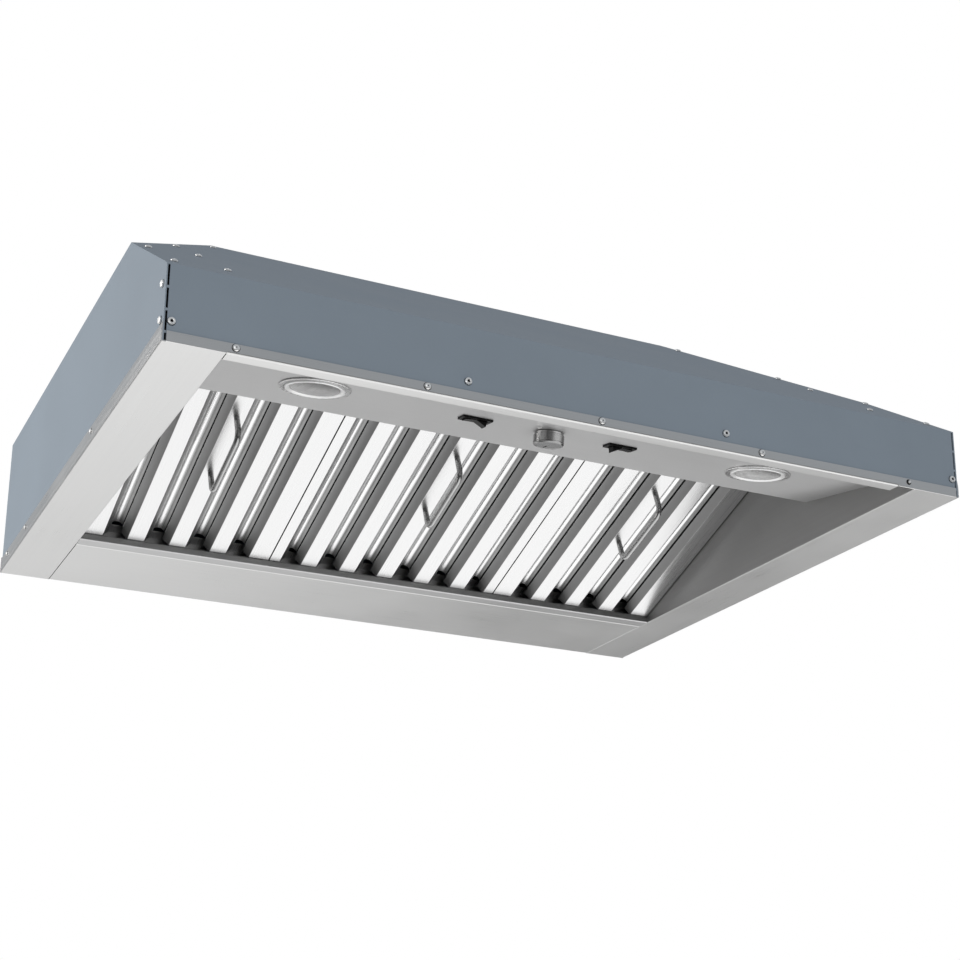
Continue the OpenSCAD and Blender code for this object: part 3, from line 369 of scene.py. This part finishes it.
FLAT_ANGLE = math.radians(0.4)
EDGE_ANGLE = math.radians(28.0)
SHELL_BEVEL, SOFT_BEVEL, FINE_BEVEL = 0.45 * MM, 0.5 * MM, 0.3 * MM
BAFFLE_BEVEL, ROCKER_BEVEL = 0.4 * MM, 0.35 * MM
# Slots of a filter's sheets: lit steel, painted shade, and painted half-shade
LIT, SHADE_SLOT, HALF_SHADE_SLOT = 0, 1, 2


def dress(name, material, bevel=0.0, segments=2):
    """A CAD node keeps its mesh: welded, with clean planes and soft edges."""
    o = nodes[name]
    mesh = o.data
    mesh.materials.clear()
    mesh.materials.append(mat[material])
    if mesh.attributes.get("custom_normal"):
        mesh.attributes.remove(mesh.attributes["custom_normal"])
    mesh.polygons.foreach_set("use_smooth", [True] * len(mesh.polygons))
    mesh.polygons.foreach_set("material_index", [0] * len(mesh.polygons))
    weld = o.modifiers.new("weld", "WELD")
    weld.merge_threshold = TOUCH
    if bevel:
        flat = o.modifiers.new("planes", "DECIMATE")
        flat.decimate_type = "DISSOLVE"
        flat.angle_limit = FLAT_ANGLE
        flat.delimit = {"MATERIAL"}
        edge = o.modifiers.new("edges", "BEVEL")
        edge.width = bevel
        edge.segments = segments
        edge.limit_method = "ANGLE"
        edge.angle_limit = EDGE_ANGLE
        edge.harden_normals = True
        edge.miter_outer = "MITER_ARC"
    else:
        split = o.modifiers.new("edges", "EDGE_SPLIT")
        split.split_angle = EDGE_ANGLE


def steel_of(sheet_name, normal, inside):
    """Slot of a face, from the way it looks in the filter's own axes: painted shade inside the
    frame, on sheet backs and on arch faces that look furthest left, and painted half-shade on
    other faces that look left.
    """
    if sheet_name == "_rear_baffles":
        if not (normal.x < -0.55 and normal.z < 0):
            return LIT
        return SHADE_SLOT if normal.x < -0.93 else HALF_SHADE_SLOT
    hidden = inside if sheet_name == "_filter_frame" else normal.z > 0.3
    if hidden:
        return SHADE_SLOT
    return HALF_SHADE_SLOT if normal.x < -0.5 and normal.z < -0.3 else LIT


def shade_inside(place):
    """Painted shade in a filter: a near-black matt surface inside it, and darker, duller steel on
    its flanks and far half-arches.
    """
    flat = Matrix.Rotation(FILTER_TILT, 4, "X") @ Matrix.Translation(-Vector(FILTER_ORIGIN))
    skin = 1.0 * MM
    hull = [flat @ v.co for v in nodes[place + "_filter_frame"].data.vertices]
    low = [min(c[k] for c in hull) + skin for k in range(3)]
    high = [max(c[k] for c in hull) - skin for k in range(3)]
    for sheet_name in ("_filter_frame", "_front_baffles", "_rear_baffles"):
        mesh = nodes[place + sheet_name].data
        mesh.materials.append(mat["painted_shade"])
        mesh.materials.append(mat["shaded_flank"])
        for face in mesh.polygons:
            corners = [flat @ mesh.vertices[i].co for i in face.vertices]
            inside = all(low[k] < c[k] < high[k] for c in corners for k in range(3))
            normal = flat.to_3x3() @ face.normal
            face.material_index = steel_of(sheet_name, normal, inside)


for name in ("front_panel", "top_panel", "rear_panel"):
    dress(name, "shell", SHELL_BEVEL)
for side, _ in SIDES:
    dress(side + "_side_panel", "shell", SHELL_BEVEL)
    dress(side + "_roof_panel", "shell", SHELL_BEVEL)
    # The corner angles wear painted shadow, so the slots at the front corners read black
    dress(side + "_corner_angle", "recess", FINE_BEVEL)
    dress(side + "_inner_wall", "wall", SHELL_BEVEL)
    dress(side + "_switch_body", "black", FINE_BEVEL)
    dress(side + "_rocker", "black", ROCKER_BEVEL)
    dress(side + "_lamp_can", "zinc")
    dress(side + "_blower_side", "zinc")
dress("control_panel", "panel", SOFT_BEVEL)
for place in FILTERS:
    dress(place + "_filter_frame", "filter", BAFFLE_BEVEL)
    dress(place + "_front_baffles", "filter", BAFFLE_BEVEL, 3)
    dress(place + "_rear_baffles", "highlit_arch")
    dress(place + "_filter_handle", "wire")
    shade_inside(place)
dress("speed_control", "control", SOFT_BEVEL)
for name in ("control_shaft", "blower_shaft"):
    dress(name, "screw")
for name in (
    "blower_scroll", "blower_wheel", "motor_bracket", "duct_collar",
    "front_damper_flap", "rear_damper_flap", "damper_pin", "junction_box",
):
    dress(name, "zinc")
dress("blower_motor", "motor")

# ----------------------------------------------------------------- mesh pieces

ARC_STEPS = 5


def finish_piece(name, bm, materials, body, replaced, smooth=32.0):
    """Turn a bmesh into a named piece that rides a CAD body."""
    bmesh.ops.recalc_face_normals(bm, faces=bm.faces)
    mesh = bpy.data.meshes.new(name)
    bm.to_mesh(mesh)
    bm.free()
    for material in materials:
        mesh.materials.append(mat[material])
    mesh.polygons.foreach_set("use_smooth", [True] * len(mesh.polygons))
    mesh.set_sharp_from_angle(angle=math.radians(smooth))
    o = bpy.data.objects.new(name, mesh)
    bpy.context.scene.collection.objects.link(o)
    weight = o.modifiers.new("flat_faces", "WEIGHTED_NORMAL")
    weight.keep_sharp = True
    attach(o, body)
    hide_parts(*replaced)


def rounded(corners):
    """Outline whose corners (a, b, radius) are rounded off."""
    out = []
    for i, (a, b, radius) in enumerate(corners):
        p = Vector((a, b))
        if not radius:
            out.append(p)
            continue
        back = Vector(corners[i - 1][:2]) - p
        ahead = Vector(corners[(i + 1) % len(corners)][:2]) - p
        half = back.angle(ahead) / 2
        cut = min(radius / math.tan(half), back.length * 0.48, ahead.length * 0.48)
        radius = cut * math.tan(half)
        middle = (back.normalized() + ahead.normalized()).normalized()
        centre = p + middle * (radius / math.sin(half))
        first = p + back.normalized() * cut - centre
        last = p + ahead.normalized() * cut - centre
        sweep = first.angle(last)
        for k in range(ARC_STEPS + 1):
            t = k / ARC_STEPS
            spoke = first * math.sin((1 - t) * sweep) + last * math.sin(t * sweep)
            out.append(centre + spoke / math.sin(sweep))
    return out


def run(bm, corners, place, start, end):
    """Sheet section in millimetres drawn out from start to end."""
    outline = rounded(corners)
    rings = [
        [bm.verts.new(Vector(place(at, p.x, p.y)) * MM) for p in outline] for at in (start, end)
    ]
    count = len(outline)
    for i in range(count):
        j = (i + 1) % count
        bm.faces.new((rings[0][i], rings[0][j], rings[1][j], rings[1][i]))
    bm.faces.new(rings[0])
    bm.faces.new(rings[1])


def lathe(bm, profile, place, count, index=0, closed=False):
    """Profile of (radius, height) turned about a place's local z axis, in mm."""

    def corner(radius, height, turn):
        spot = Vector((radius * math.cos(turn), radius * math.sin(turn), height))
        return bm.verts.new(place @ (spot * MM))

    rings = []
    for radius, height in profile:
        if radius < TOUCH:
            rings.append([bm.verts.new(place @ (Vector((0, 0, height)) * MM))])
        else:
            rings.append([corner(radius, height, 2 * math.pi * k / count) for k in range(count)])
    pairs = list(zip(rings, rings[1:]))
    if closed:
        pairs.append((rings[-1], rings[0]))
    for low, high in pairs:
        for k in range(count):
            n = (k + 1) % count
            corners = [
                low[k % len(low)], low[n % len(low)], high[n % len(high)], high[k % len(high)]
            ]
            corners = list(dict.fromkeys(corners))
            if len(corners) > 2:
                bm.faces.new(corners).material_index = index


def along_x(at, a, b):
    return (at, a, b)


def along_y(side):
    return lambda at, a, b: (side * a, at, b)


# Rim sheets: sections as corners (place, height, bend radius), in millimetres
HALF, INNER, FRONT, REAR = 436.5, 377.5, -361.0, 361.0
SHEET, SEAM, LIP_END, NOTCH = 1.2, 0.5, 432.1, 22.0
BEND, FREE, CREASE = 2.2, 0.35, 0.5
STRIP, PAN = FRONT + 16, REAR - 148
TROUGH = PAN - 20
LIP_HIGH, RISER_HIGH, EDGE_HIGH, PAN_HIGH, TROUGH_HIGH = 10.5, 18.3, 19.5, 26, 7.85
GROOVE = 0.5


def rim_sheet(name, material, replaced, place, *runs):
    """One sheet of the rim, from runs of (section, start, end)."""
    bm = bmesh.new()
    for corners, start, end in runs:
        run(bm, corners, place, start, end)
    finish_piece(name, bm, [material], "housing", [replaced])


front_section = [
    (FRONT, LIP_HIGH, FREE), (FRONT, 0, BEND), (STRIP, 0, 1.4), (STRIP, RISER_HIGH, FREE),
    (STRIP - SHEET, RISER_HIGH, FREE), (STRIP - SHEET, SHEET, CREASE),
    (FRONT + SHEET, SHEET, CREASE), (FRONT + SHEET, LIP_HIGH, FREE),
]
front_lip = [
    (FRONT, LIP_HIGH, FREE), (FRONT, 0, 1.1), (FRONT + SHEET, 0, 0),
    (FRONT + SHEET, LIP_HIGH, FREE),
]
rim_sheet(
    "front_rim_sheet", "rim_x", "front_rim", along_x,
    (front_section, SEAM - INNER, INNER - NOTCH),
    (front_lip, -LIP_END, SEAM - INNER),
    (front_lip, INNER - NOTCH, LIP_END),
)

pan_section = [
    (PAN, PAN_HIGH, FREE), (PAN, 0, 1.6), (REAR, 0, BEND), (REAR, EDGE_HIGH, FREE),
    (REAR - SHEET, EDGE_HIGH, FREE), (REAR - SHEET, SHEET, CREASE),
    (PAN + SHEET, SHEET, CREASE), (PAN + SHEET, PAN_HIGH, FREE),
]
pan_lip = [
    (REAR - SHEET, EDGE_HIGH, FREE), (REAR - SHEET, 0, 0), (REAR, 0, 1.1),
    (REAR, EDGE_HIGH, FREE),
]
rim_sheet(
    "rear_pan_sheet", "rim_x", "rear_pan", along_x,
    (pan_section, SEAM - INNER, INNER - SEAM),
    (pan_lip, -HALF, SEAM - INNER),
    (pan_lip, INNER - SEAM, HALF),
)

trough_section = [
    (TROUGH, TROUGH_HIGH, FREE), (TROUGH, 0, 1.9), (PAN, 0, 0.9), (PAN, PAN_HIGH, FREE),
    (PAN - SHEET, PAN_HIGH, FREE), (PAN - SHEET, SHEET, CREASE),
    (TROUGH + SHEET, SHEET, CREASE), (TROUGH + SHEET, TROUGH_HIGH, FREE),
]
rim_sheet(
    "grease_trough_sheet", "trough", "grease_trough", along_x, (trough_section, -INNER, INNER)
)

flange_section = [
    (INNER, 0, 1.8), (HALF, 0, BEND),
    (HALF, 4.0, 0.2), (HALF - GROOVE, 4.3, 0), (HALF - GROOVE, 4.7, 0), (HALF, 5.0, 0.2),
    (HALF, 12.8, 0.8), (HALF - 0.9, EDGE_HIGH, FREE), (HALF - SHEET, EDGE_HIGH, 0.1),
    (HALF - SHEET, SHEET, CREASE), (INNER, SHEET, 0),
]
for side, sign in SIDES:
    rim_sheet(
        side + "_flange_sheet", "rim_y", side + "_rim_flange", along_y(sign),
        (flange_section, FRONT + SHEET, REAR - SHEET),
    )

# Screws: the heads stand where the CAD heads are. Profiles are (radius, height below
# the head's face), in millimetres.
TOP_SKIN = 0.00002
HEAD_SIDES, SOCKET_SIDES = 28, 20


def islands(bm):
    """Sets of joined corners, one for each head."""
    left = set(bm.verts)
    while left:
        island, stack = set(), [left.pop()]
        while stack:
            v = stack.pop()
            island.add(v)
            for e in v.link_edges:
                other = e.other_vert(v)
                if other in left:
                    left.discard(other)
                    stack.append(other)
        yield island


def head_places(name, axes):
    """Centre of each head's outer face, and the way it looks.

    A head's face is at least half as wide as its widest side. Of those, the one
    that stands furthest out is taken.
    """
    bm = bmesh.new()
    bm.from_mesh(nodes[name].data)
    bmesh.ops.remove_doubles(bm, verts=bm.verts, dist=TOUCH)
    found = []
    for island in islands(bm):
        middle = sum((v.co for v in island), Vector()) / len(island)
        ways = []
        for axis in axes:
            top = max(v.co.dot(axis) for v in island)
            face = [v.co for v in island if v.co.dot(axis) > top - TOP_SKIN]
            low = Vector([min(c[i] for c in face) for i in range(3)])
            high = Vector([max(c[i] for c in face) for i in range(3)])
            width = sorted(high - low)[1]
            ways.append((width, middle.dot(axis), (low + high) / 2, axis.copy()))
        widest = max(way[0] for way in ways)
        wide = [way for way in ways if way[0] > widest / 2]
        found.append(max(wide, key=lambda way: way[1])[2:])
    bm.free()
    return sorted(found, key=lambda item: tuple(round(c, 6) for c in item[0]))


def looking(centre, axis):
    """Place whose z axis looks along an axis."""
    return Matrix.Translation(centre) @ axis.to_track_quat("Z", "Y").to_matrix().to_4x4()


# The last lip screw on the right is a bright pin, with a disc of painted shadow in the opening
# around it
PIN_X = 0.36
PIN = [(0, -2.1), (1.5, -2.1), (1.5, -0.3), (1.2, 0), (0, 0)]
PIN_HOLE_SHADOW = [(1.45, -2.15), (3.0, -2.15), (3.0, -2.0), (1.45, -2.0)]


def screw_heads(name, axes, profile, socket, shadow_ring):
    bm = bmesh.new()
    for centre, axis in head_places(name, axes):
        place = looking(centre, axis)
        if name == "lip_screws" and centre.x > PIN_X:
            lathe(bm, PIN, place, HEAD_SIDES)
            lathe(bm, PIN_HOLE_SHADOW, place, HEAD_SIDES, 1, closed=True)
            continue
        lathe(bm, shadow_ring, place, HEAD_SIDES, 1, closed=True)
        lathe(bm, profile, place, HEAD_SIDES)
        lathe(bm, socket, place, SOCKET_SIDES, 1)
    finish_piece(name + "_heads", bm, ["screw", "recess"], "housing", [name])


SLOPE = math.radians(32.07)
AROUND = [Vector(way) for way in ((0, -1, 0), (0, 1, 0), (-1, 0, 0), (1, 0, 0))]
UP_SLOPE = [Vector((0, -math.sin(SLOPE), math.cos(SLOPE)))]
# A thin ring of painted shadow lies under each head, and the sockets wear painted shadow
HEAD_SHADOW_RING = [(3.5, -2.15), (4.0, -2.15), (4.0, -2.0), (3.5, -2.0)]
RING_HEAD = [
    (0, -1.9), (3.6, -1.9), (3.6, -0.8), (3.45, -0.35), (3.0, -0.08), (2.4, 0), (1.9, -0.02),
    (1.5, -0.2), (1.45, -0.9), (0, -0.9),
]
RING_SOCKET = [(1.44, -0.85), (1.2, -0.8), (0, -0.8)]
DOME_HEAD = [
    (0, -1.9), (3.5, -1.9), (3.45, -1.3), (3.1, -0.65), (2.4, -0.25), (1.4, -0.04), (0, 0),
]
DOME_SOCKET = [(1.0, -0.06), (0.5, 0.0), (0, 0.0)]
SMALL_HEAD = [
    (0, -1.5), (2.6, -1.5), (2.55, -0.9), (2.2, -0.35), (1.6, -0.06), (0.9, 0), (0.8, -0.4),
    (0, -0.4),
]
SMALL_SOCKET = [(0.78, -0.38), (0, -0.38)]
SMALL_SHADOW_RING = [(2.6, -1.6), (3.1, -1.6), (3.1, -1.48), (2.6, -1.48)]
FLUSH_HEAD = [
    (0, -2.0), (3.6, -2.0), (3.5, -1.2), (2.9, -0.5), (1.7, -0.1), (1.4, -0.9), (1.3, -1.5),
    (0, -1.5),
]
FLUSH_SOCKET = [(1.28, -1.65), (0, -1.65)]
FLUSH_SHADOW_RING = [(3.6, -2.15), (4.0, -2.15), (4.0, -2.05), (3.6, -2.05)]
screw_heads("front_face_screws", AROUND, RING_HEAD, RING_SOCKET, HEAD_SHADOW_RING)
screw_heads("lip_screws", AROUND[:2], DOME_HEAD, DOME_SOCKET, HEAD_SHADOW_RING)
screw_heads("side_screws", AROUND + [Vector((0, 0, 1))], SMALL_HEAD, SMALL_SOCKET, SMALL_SHADOW_RING)
screw_heads("slope_screws", UP_SLOPE, FLUSH_HEAD, FLUSH_SOCKET, FLUSH_SHADOW_RING)

# Control panel fittings, in the panel's own frame and in millimetres: z looks into the room
TILT = math.radians(9.6)
CONTROL_V, LAMP_X = 95.94, 255.3
PANEL_Y, PANEL_Z = -345, 19.5
BEZEL = [
    (28.0, -1.2), (28.0, 0.0), (35.4, 0.0), (35.4, 1.35), (35.1, 1.65), (34.4, 1.75),
    (31.2, 1.6), (30.8, 1.3), (30.6, 0.4), (29.9, 0.4), (29.9, -1.2),
]
BRIGHT_RING = [
    (24.7, -1.2), (29.8, -1.2), (29.8, 2.0), (29.4, 2.7), (28.6, 3.0), (27.6, 2.95),
    (26.2, 2.4), (25.1, 1.6), (24.7, 0.9),
]
CAPSULE = [(0, -12), (3.0, -12.6), (4.6, -14.5), (5, -17), (5, -36), (0, -36)]
LENS_R, FLUTE = 24.6, FLUTE_PITCH / MM
LENS_BACK, LENS_EDGE, LENS_CROWN, FLUTE_HIGH = -1.2, 1.7, 0.75, 0.62
FLUTE_COLUMNS, LENS_ROWS = 6, 22
ROUND_SIDES, BOWL_SIDES, CAPSULE_SIDES = 96, 40, 32
BOWL_STEPS, BOWL_WALL = 12, 0.8


def panel_place(x):
    """Place on the panel with z towards the room and y towards the rear."""
    turn = Matrix.Rotation(TILT, 4, "X") @ Matrix.Rotation(math.pi, 4, "Y")
    at = Matrix.Rotation(TILT, 4, "X") @ Vector((0, CONTROL_V, 0))
    return Matrix.Translation(Vector((x, at.y + PANEL_Y, at.z + PANEL_Z)) * MM) @ turn


def grid_edge(grid):
    """The corners around a grid of columns, in order."""
    tops = [row[-1] for row in grid[-2::-1]]
    return [row[0] for row in grid] + grid[-1][1:] + tops + grid[0][-2:0:-1]


def lens(bm, place):
    """Glass with upright flutes outside and a flat back."""
    columns = int(2 * LENS_R / FLUTE) * FLUTE_COLUMNS
    front_grid, back_grid = [], []
    for i in range(columns + 1):
        x = LENS_R * 0.999 * (2 * i / columns - 1)
        chord = math.sqrt(LENS_R**2 - x**2)
        fronts, backs = [], []
        for j in range(LENS_ROWS + 1):
            v = chord * math.sin(math.pi / 2 * (2 * j / LENS_ROWS - 1))
            fall = (x * x + v * v) / LENS_R**2
            ripple = abs(math.sin(math.pi * x / FLUTE)) * (1 + 0.5 * math.sin(v * 1.9))
            ripple *= 1 - fall**6
            high = LENS_EDGE + LENS_CROWN * (1 - fall) + FLUTE_HIGH * ripple
            fronts.append(bm.verts.new(place @ (Vector((x, v, high)) * MM)))
            backs.append(bm.verts.new(place @ (Vector((x, v, LENS_BACK)) * MM)))
        front_grid.append(fronts)
        back_grid.append(backs)
    for grid in (front_grid, back_grid):
        for a, b in zip(grid, grid[1:]):
            for j in range(LENS_ROWS):
                bm.faces.new((a[j], a[j + 1], b[j + 1], b[j]))
    outer, inner = grid_edge(front_grid), grid_edge(back_grid)
    for k in range(len(outer)):
        n = (k + 1) % len(outer)
        bm.faces.new((outer[k], outer[n], inner[n], inner[k]))


def bowl_profile():
    """Reflector bowl with its neck, inside and then back along the outside."""
    bowl = []
    for k in range(BOWL_STEPS):
        t = k / (BOWL_STEPS - 1)
        bowl.append((25.2 - 17 * t**1.6, -3.6 - 34 * t))
    outside = [(r + BOWL_WALL, h) for r, h in reversed(bowl)]
    return bowl + [(7.4, -47.5), (9.0, -47.5)] + outside


for side, sign in SIDES:
    place = panel_place(sign * LAMP_X)
    bm = bmesh.new()
    lathe(bm, BEZEL, place, ROUND_SIDES, closed=True)
    lathe(bm, BRIGHT_RING, place, ROUND_SIDES, 1, closed=True)
    ring = [side + "_lamp_bezel"]
    finish_piece(side + "_bezel_ring", bm, ["bezel", "bright"], "housing", ring, 40)
    bm = bmesh.new()
    lens(bm, place)
    glass = [side + "_lamp_lens"]
    finish_piece(side + "_fluted_lens", bm, ["glass"], "housing", glass, 50)
    bm = bmesh.new()
    lathe(bm, bowl_profile(), place, BOWL_SIDES, closed=True)
    lathe(bm, CAPSULE, place, CAPSULE_SIDES, 1)
    bulb = [side + "_lamp_bulb"]
    finish_piece(side + "_reflector", bm, ["mirror", "frost"], "housing", bulb, 12)

KNOB_R, KNOB_GROOVE_R = 16.0, 15.86
KNOB_GROOVES, GROOVE_PITCH, GROOVES_FROM = 7, 1.05, 3.4
POINTER_SHADOW_AT = (0, 7.5, 13.24)
POINTER_SHADOW_SIZE = (0.0012, 0.0075, 0.0003, 1)
side_rings = []
for k in range(KNOB_GROOVES):
    low = GROOVES_FROM + k * GROOVE_PITCH
    side_rings += [(KNOB_R, low), (KNOB_R, low + 0.8)]
    side_rings += [(KNOB_GROOVE_R, low + 0.88), (KNOB_GROOVE_R, low + 0.97)]
knob_profile = (
    [(5.2, 0.5), (14.9, 0.5), (15.1, 0.8), (15.1, 2.6), (15.9, 3.2)]
    + side_rings
    + [(KNOB_R, 10.85), (KNOB_R, 11.1), (15.55, 11.25), (15.55, 11.6), (KNOB_R, 11.75)]
    + [(KNOB_R, 12.3), (15.1, 13.25), (14.6, 13.5), (13.4, 13.5), (13.1, 13.3), (0, 13.2)]
    + [(0, 0.5)]
)
place = panel_place(0)
bm = bmesh.new()
lathe(bm, knob_profile, place, ROUND_SIDES)
# The pointer groove on the knob's face is a thin block of painted shadow
pointer_shadow_place = place @ Matrix.Translation(Vector(POINTER_SHADOW_AT) * MM) @ Matrix.Diagonal(POINTER_SHADOW_SIZE)
pointer_shadow = bmesh.ops.create_cube(bm, size=1, matrix=pointer_shadow_place)
for v in pointer_shadow["verts"]:
    for f in v.link_faces:
        f.material_index = 1
finish_piece("turned_knob", bm, ["knob", "recess"], "knob", ["speed_knob"], 26)

# ---------------------------------------------------------------------- camera

FOCAL_MM, SENSOR_MM, LENS_SHIFT = 66.1, 36, 0.1302
CAMERA_AT = (-0.77965, -1.73808, -0.66696)
RIGHT = Vector((0.90339, -0.42878, 0.00650))
UP = Vector((-0.13185, -0.26332, 0.95565))
BACK = Vector((-0.40806, -0.86418, -0.29441))

eye = bpy.data.cameras.new("photo_camera")
eye.sensor_width = SENSOR_MM
eye.lens = FOCAL_MM
eye.shift_y = LENS_SHIFT
eye.clip_end = 100
camera = bpy.data.objects.new("photo_camera", eye)
bpy.context.scene.collection.objects.link(camera)
turn = Matrix((RIGHT, UP, BACK)).transposed().to_4x4()
camera.matrix_world = Matrix.Translation(CAMERA_AT) @ turn
bpy.context.scene.camera = camera
bpy.context.scene.view_settings.view_transform = "Standard"

# ------------------------------------------------------------- floor and light

FLOOR_Z, REACH = -2.4, 40
WHITE = (1, 1, 1, 1)
ROOM_COOL = (0.97, 1.02, 1.08, 1)
ROOM_STRENGTH, ROOM_LEAN = 0.38, 0.1
# How bright the floor is to the camera and to matt surfaces
FLOOR_SEEN, FLOOR_MATT = 0.95, 0.66
# Share of real shadow in the floor that the camera sees
FLOOR_SHADOW = 0.2
# Edges of the pool of light that metal sees in the floor, in metres
POOL_LEFT, POOL_RIGHT = (-1.5, 0.2), (3.4, 5.0)
POOL_NEAR, POOL_FAR = (-5.0, -1.8), (3.6, 8.0)
POOL_STRENGTH, POOL_REST = 1.3, 0.06
# The left edge leans and the right edge shifts with y
LEAN_FROM, LEAN = 1.5, 0.55
SHIFT_Y, SHIFT = (3.2, 4.4), 1.8
# How far the light drops past the right edge, and how much less of it far back
DROP, DROP_Y, DROP_LESS = 0.92, (5.0, 7.5), 0.17
FAR_DROP = 0.5
# A second soft spot on the left: centre, radii and strength
SPOT_X, SPOT_Y, SPOT_RX, SPOT_RY, SPOT = -2.6, 2.0, 1.2, 1.5, 0.55

floor_mesh = bpy.data.meshes.new("studio_floor")
floor_corners = [(x * REACH, y * REACH, FLOOR_Z) for x, y in ((-1, -1), (1, -1), (1, 1), (-1, 1))]
floor_mesh.from_pydata(floor_corners, [], [(0, 1, 2, 3)])
floor = bpy.data.objects.new("studio_floor", floor_mesh)
bpy.context.scene.collection.objects.link(floor)


def pool_of_light(g):
    """Brightness of the floor in what metal mirrors."""
    place = g.split(g.add("ShaderNodeNewGeometry").outputs["Position"])
    x, y = place["X"], place["Y"]
    lean = g.times(g.math("MAXIMUM", g.minus(y, LEAN_FROM), 0.0), LEAN)
    left = g.step(g.plus(x, lean), *POOL_LEFT)
    shift = g.times(g.step(y, *SHIFT_Y), SHIFT)
    drop = g.minus(DROP, g.times(g.step(y, *DROP_Y), DROP_LESS))
    right = g.minus(1.0, g.times(g.step(g.plus(x, shift), *POOL_RIGHT), drop))
    near = g.step(y, *POOL_NEAR)
    far = g.minus(1.0, g.times(g.step(y, *POOL_FAR), FAR_DROP))
    pool = g.times(g.times(left, right), g.times(near, far))
    across = g.math("POWER", g.times(g.minus(x, SPOT_X), 1 / SPOT_RX), 2.0)
    deep = g.math("POWER", g.times(g.minus(y, SPOT_Y), 1 / SPOT_RY), 2.0)
    fade = g.math("POWER", math.e, g.times(g.plus(across, deep), -1.0))
    return g.plus(g.times(pool, POOL_STRENGTH), g.plus(g.times(fade, SPOT), POOL_REST))


def floor_material():
    """Pale floor: white to the eye, with a soft pool of light in what metal sees."""
    made, g = new_material("studio_floor")
    path = g.add("ShaderNodeLightPath").outputs
    to_eye, to_matt = path["Is Camera Ray"], path["Is Diffuse Ray"]
    to_metal = g.minus(g.minus(1.0, to_eye), to_matt, clamp=True)
    seen = g.plus(g.times(to_eye, FLOOR_SEEN), g.times(to_matt, FLOOR_MATT))
    seen = g.plus(seen, g.times(to_metal, pool_of_light(g)))
    glow = g.add("ShaderNodeEmission", {"Color": WHITE, "Strength": seen})
    matte = g.add("ShaderNodeBsdfDiffuse", {"Color": (0.8, 0.8, 0.8, 1)})
    g.out(g.mix(g.minus(1.0, g.times(to_eye, FLOOR_SHADOW)), matte, glow))
    return made


floor_mesh.materials.append(floor_material())

world = bpy.data.worlds.new("studio")
bpy.context.scene.world = world
world.use_nodes = True
g = Graph(world.node_tree)
way = g.split(g.texture("Generated"))
room = g.plus(g.times(way["X"], ROOM_LEAN), ROOM_STRENGTH)
cool = g.add("ShaderNodeBackground", {"Color": ROOM_COOL, "Strength": room})
plain = g.add("ShaderNodeBackground", {"Color": WHITE, "Strength": 1.0})
to_eye = g.add("ShaderNodeLightPath").outputs["Is Camera Ray"]
g.out(g.mix(to_eye, cool, plain), "ShaderNodeOutputWorld")


def softbox(name, place, aim, size, power, color=(1, 1, 1)):
    """Square area lamp in watts that looks at a point."""
    data = bpy.data.lights.new(name, "AREA")
    data.shape = "SQUARE"
    data.size = size
    data.energy = power
    data.color = color
    lamp = bpy.data.objects.new(name, data)
    bpy.context.scene.collection.objects.link(lamp)
    lamp.location = place
    lamp.rotation_mode = "QUATERNION"
    lamp.rotation_quaternion = (Vector(aim) - Vector(place)).to_track_quat("-Z", "Y")


WARM = (1.0, 0.975, 0.95)
softbox("key_left", (-2.8, 0.9, 0.4), (-0.43, 0, 0.1), 2.2, 54, WARM)
softbox("key_front", (-1.3, -3.4, 0.5), (0.1, -0.3, 0.05), 0.9, 14)
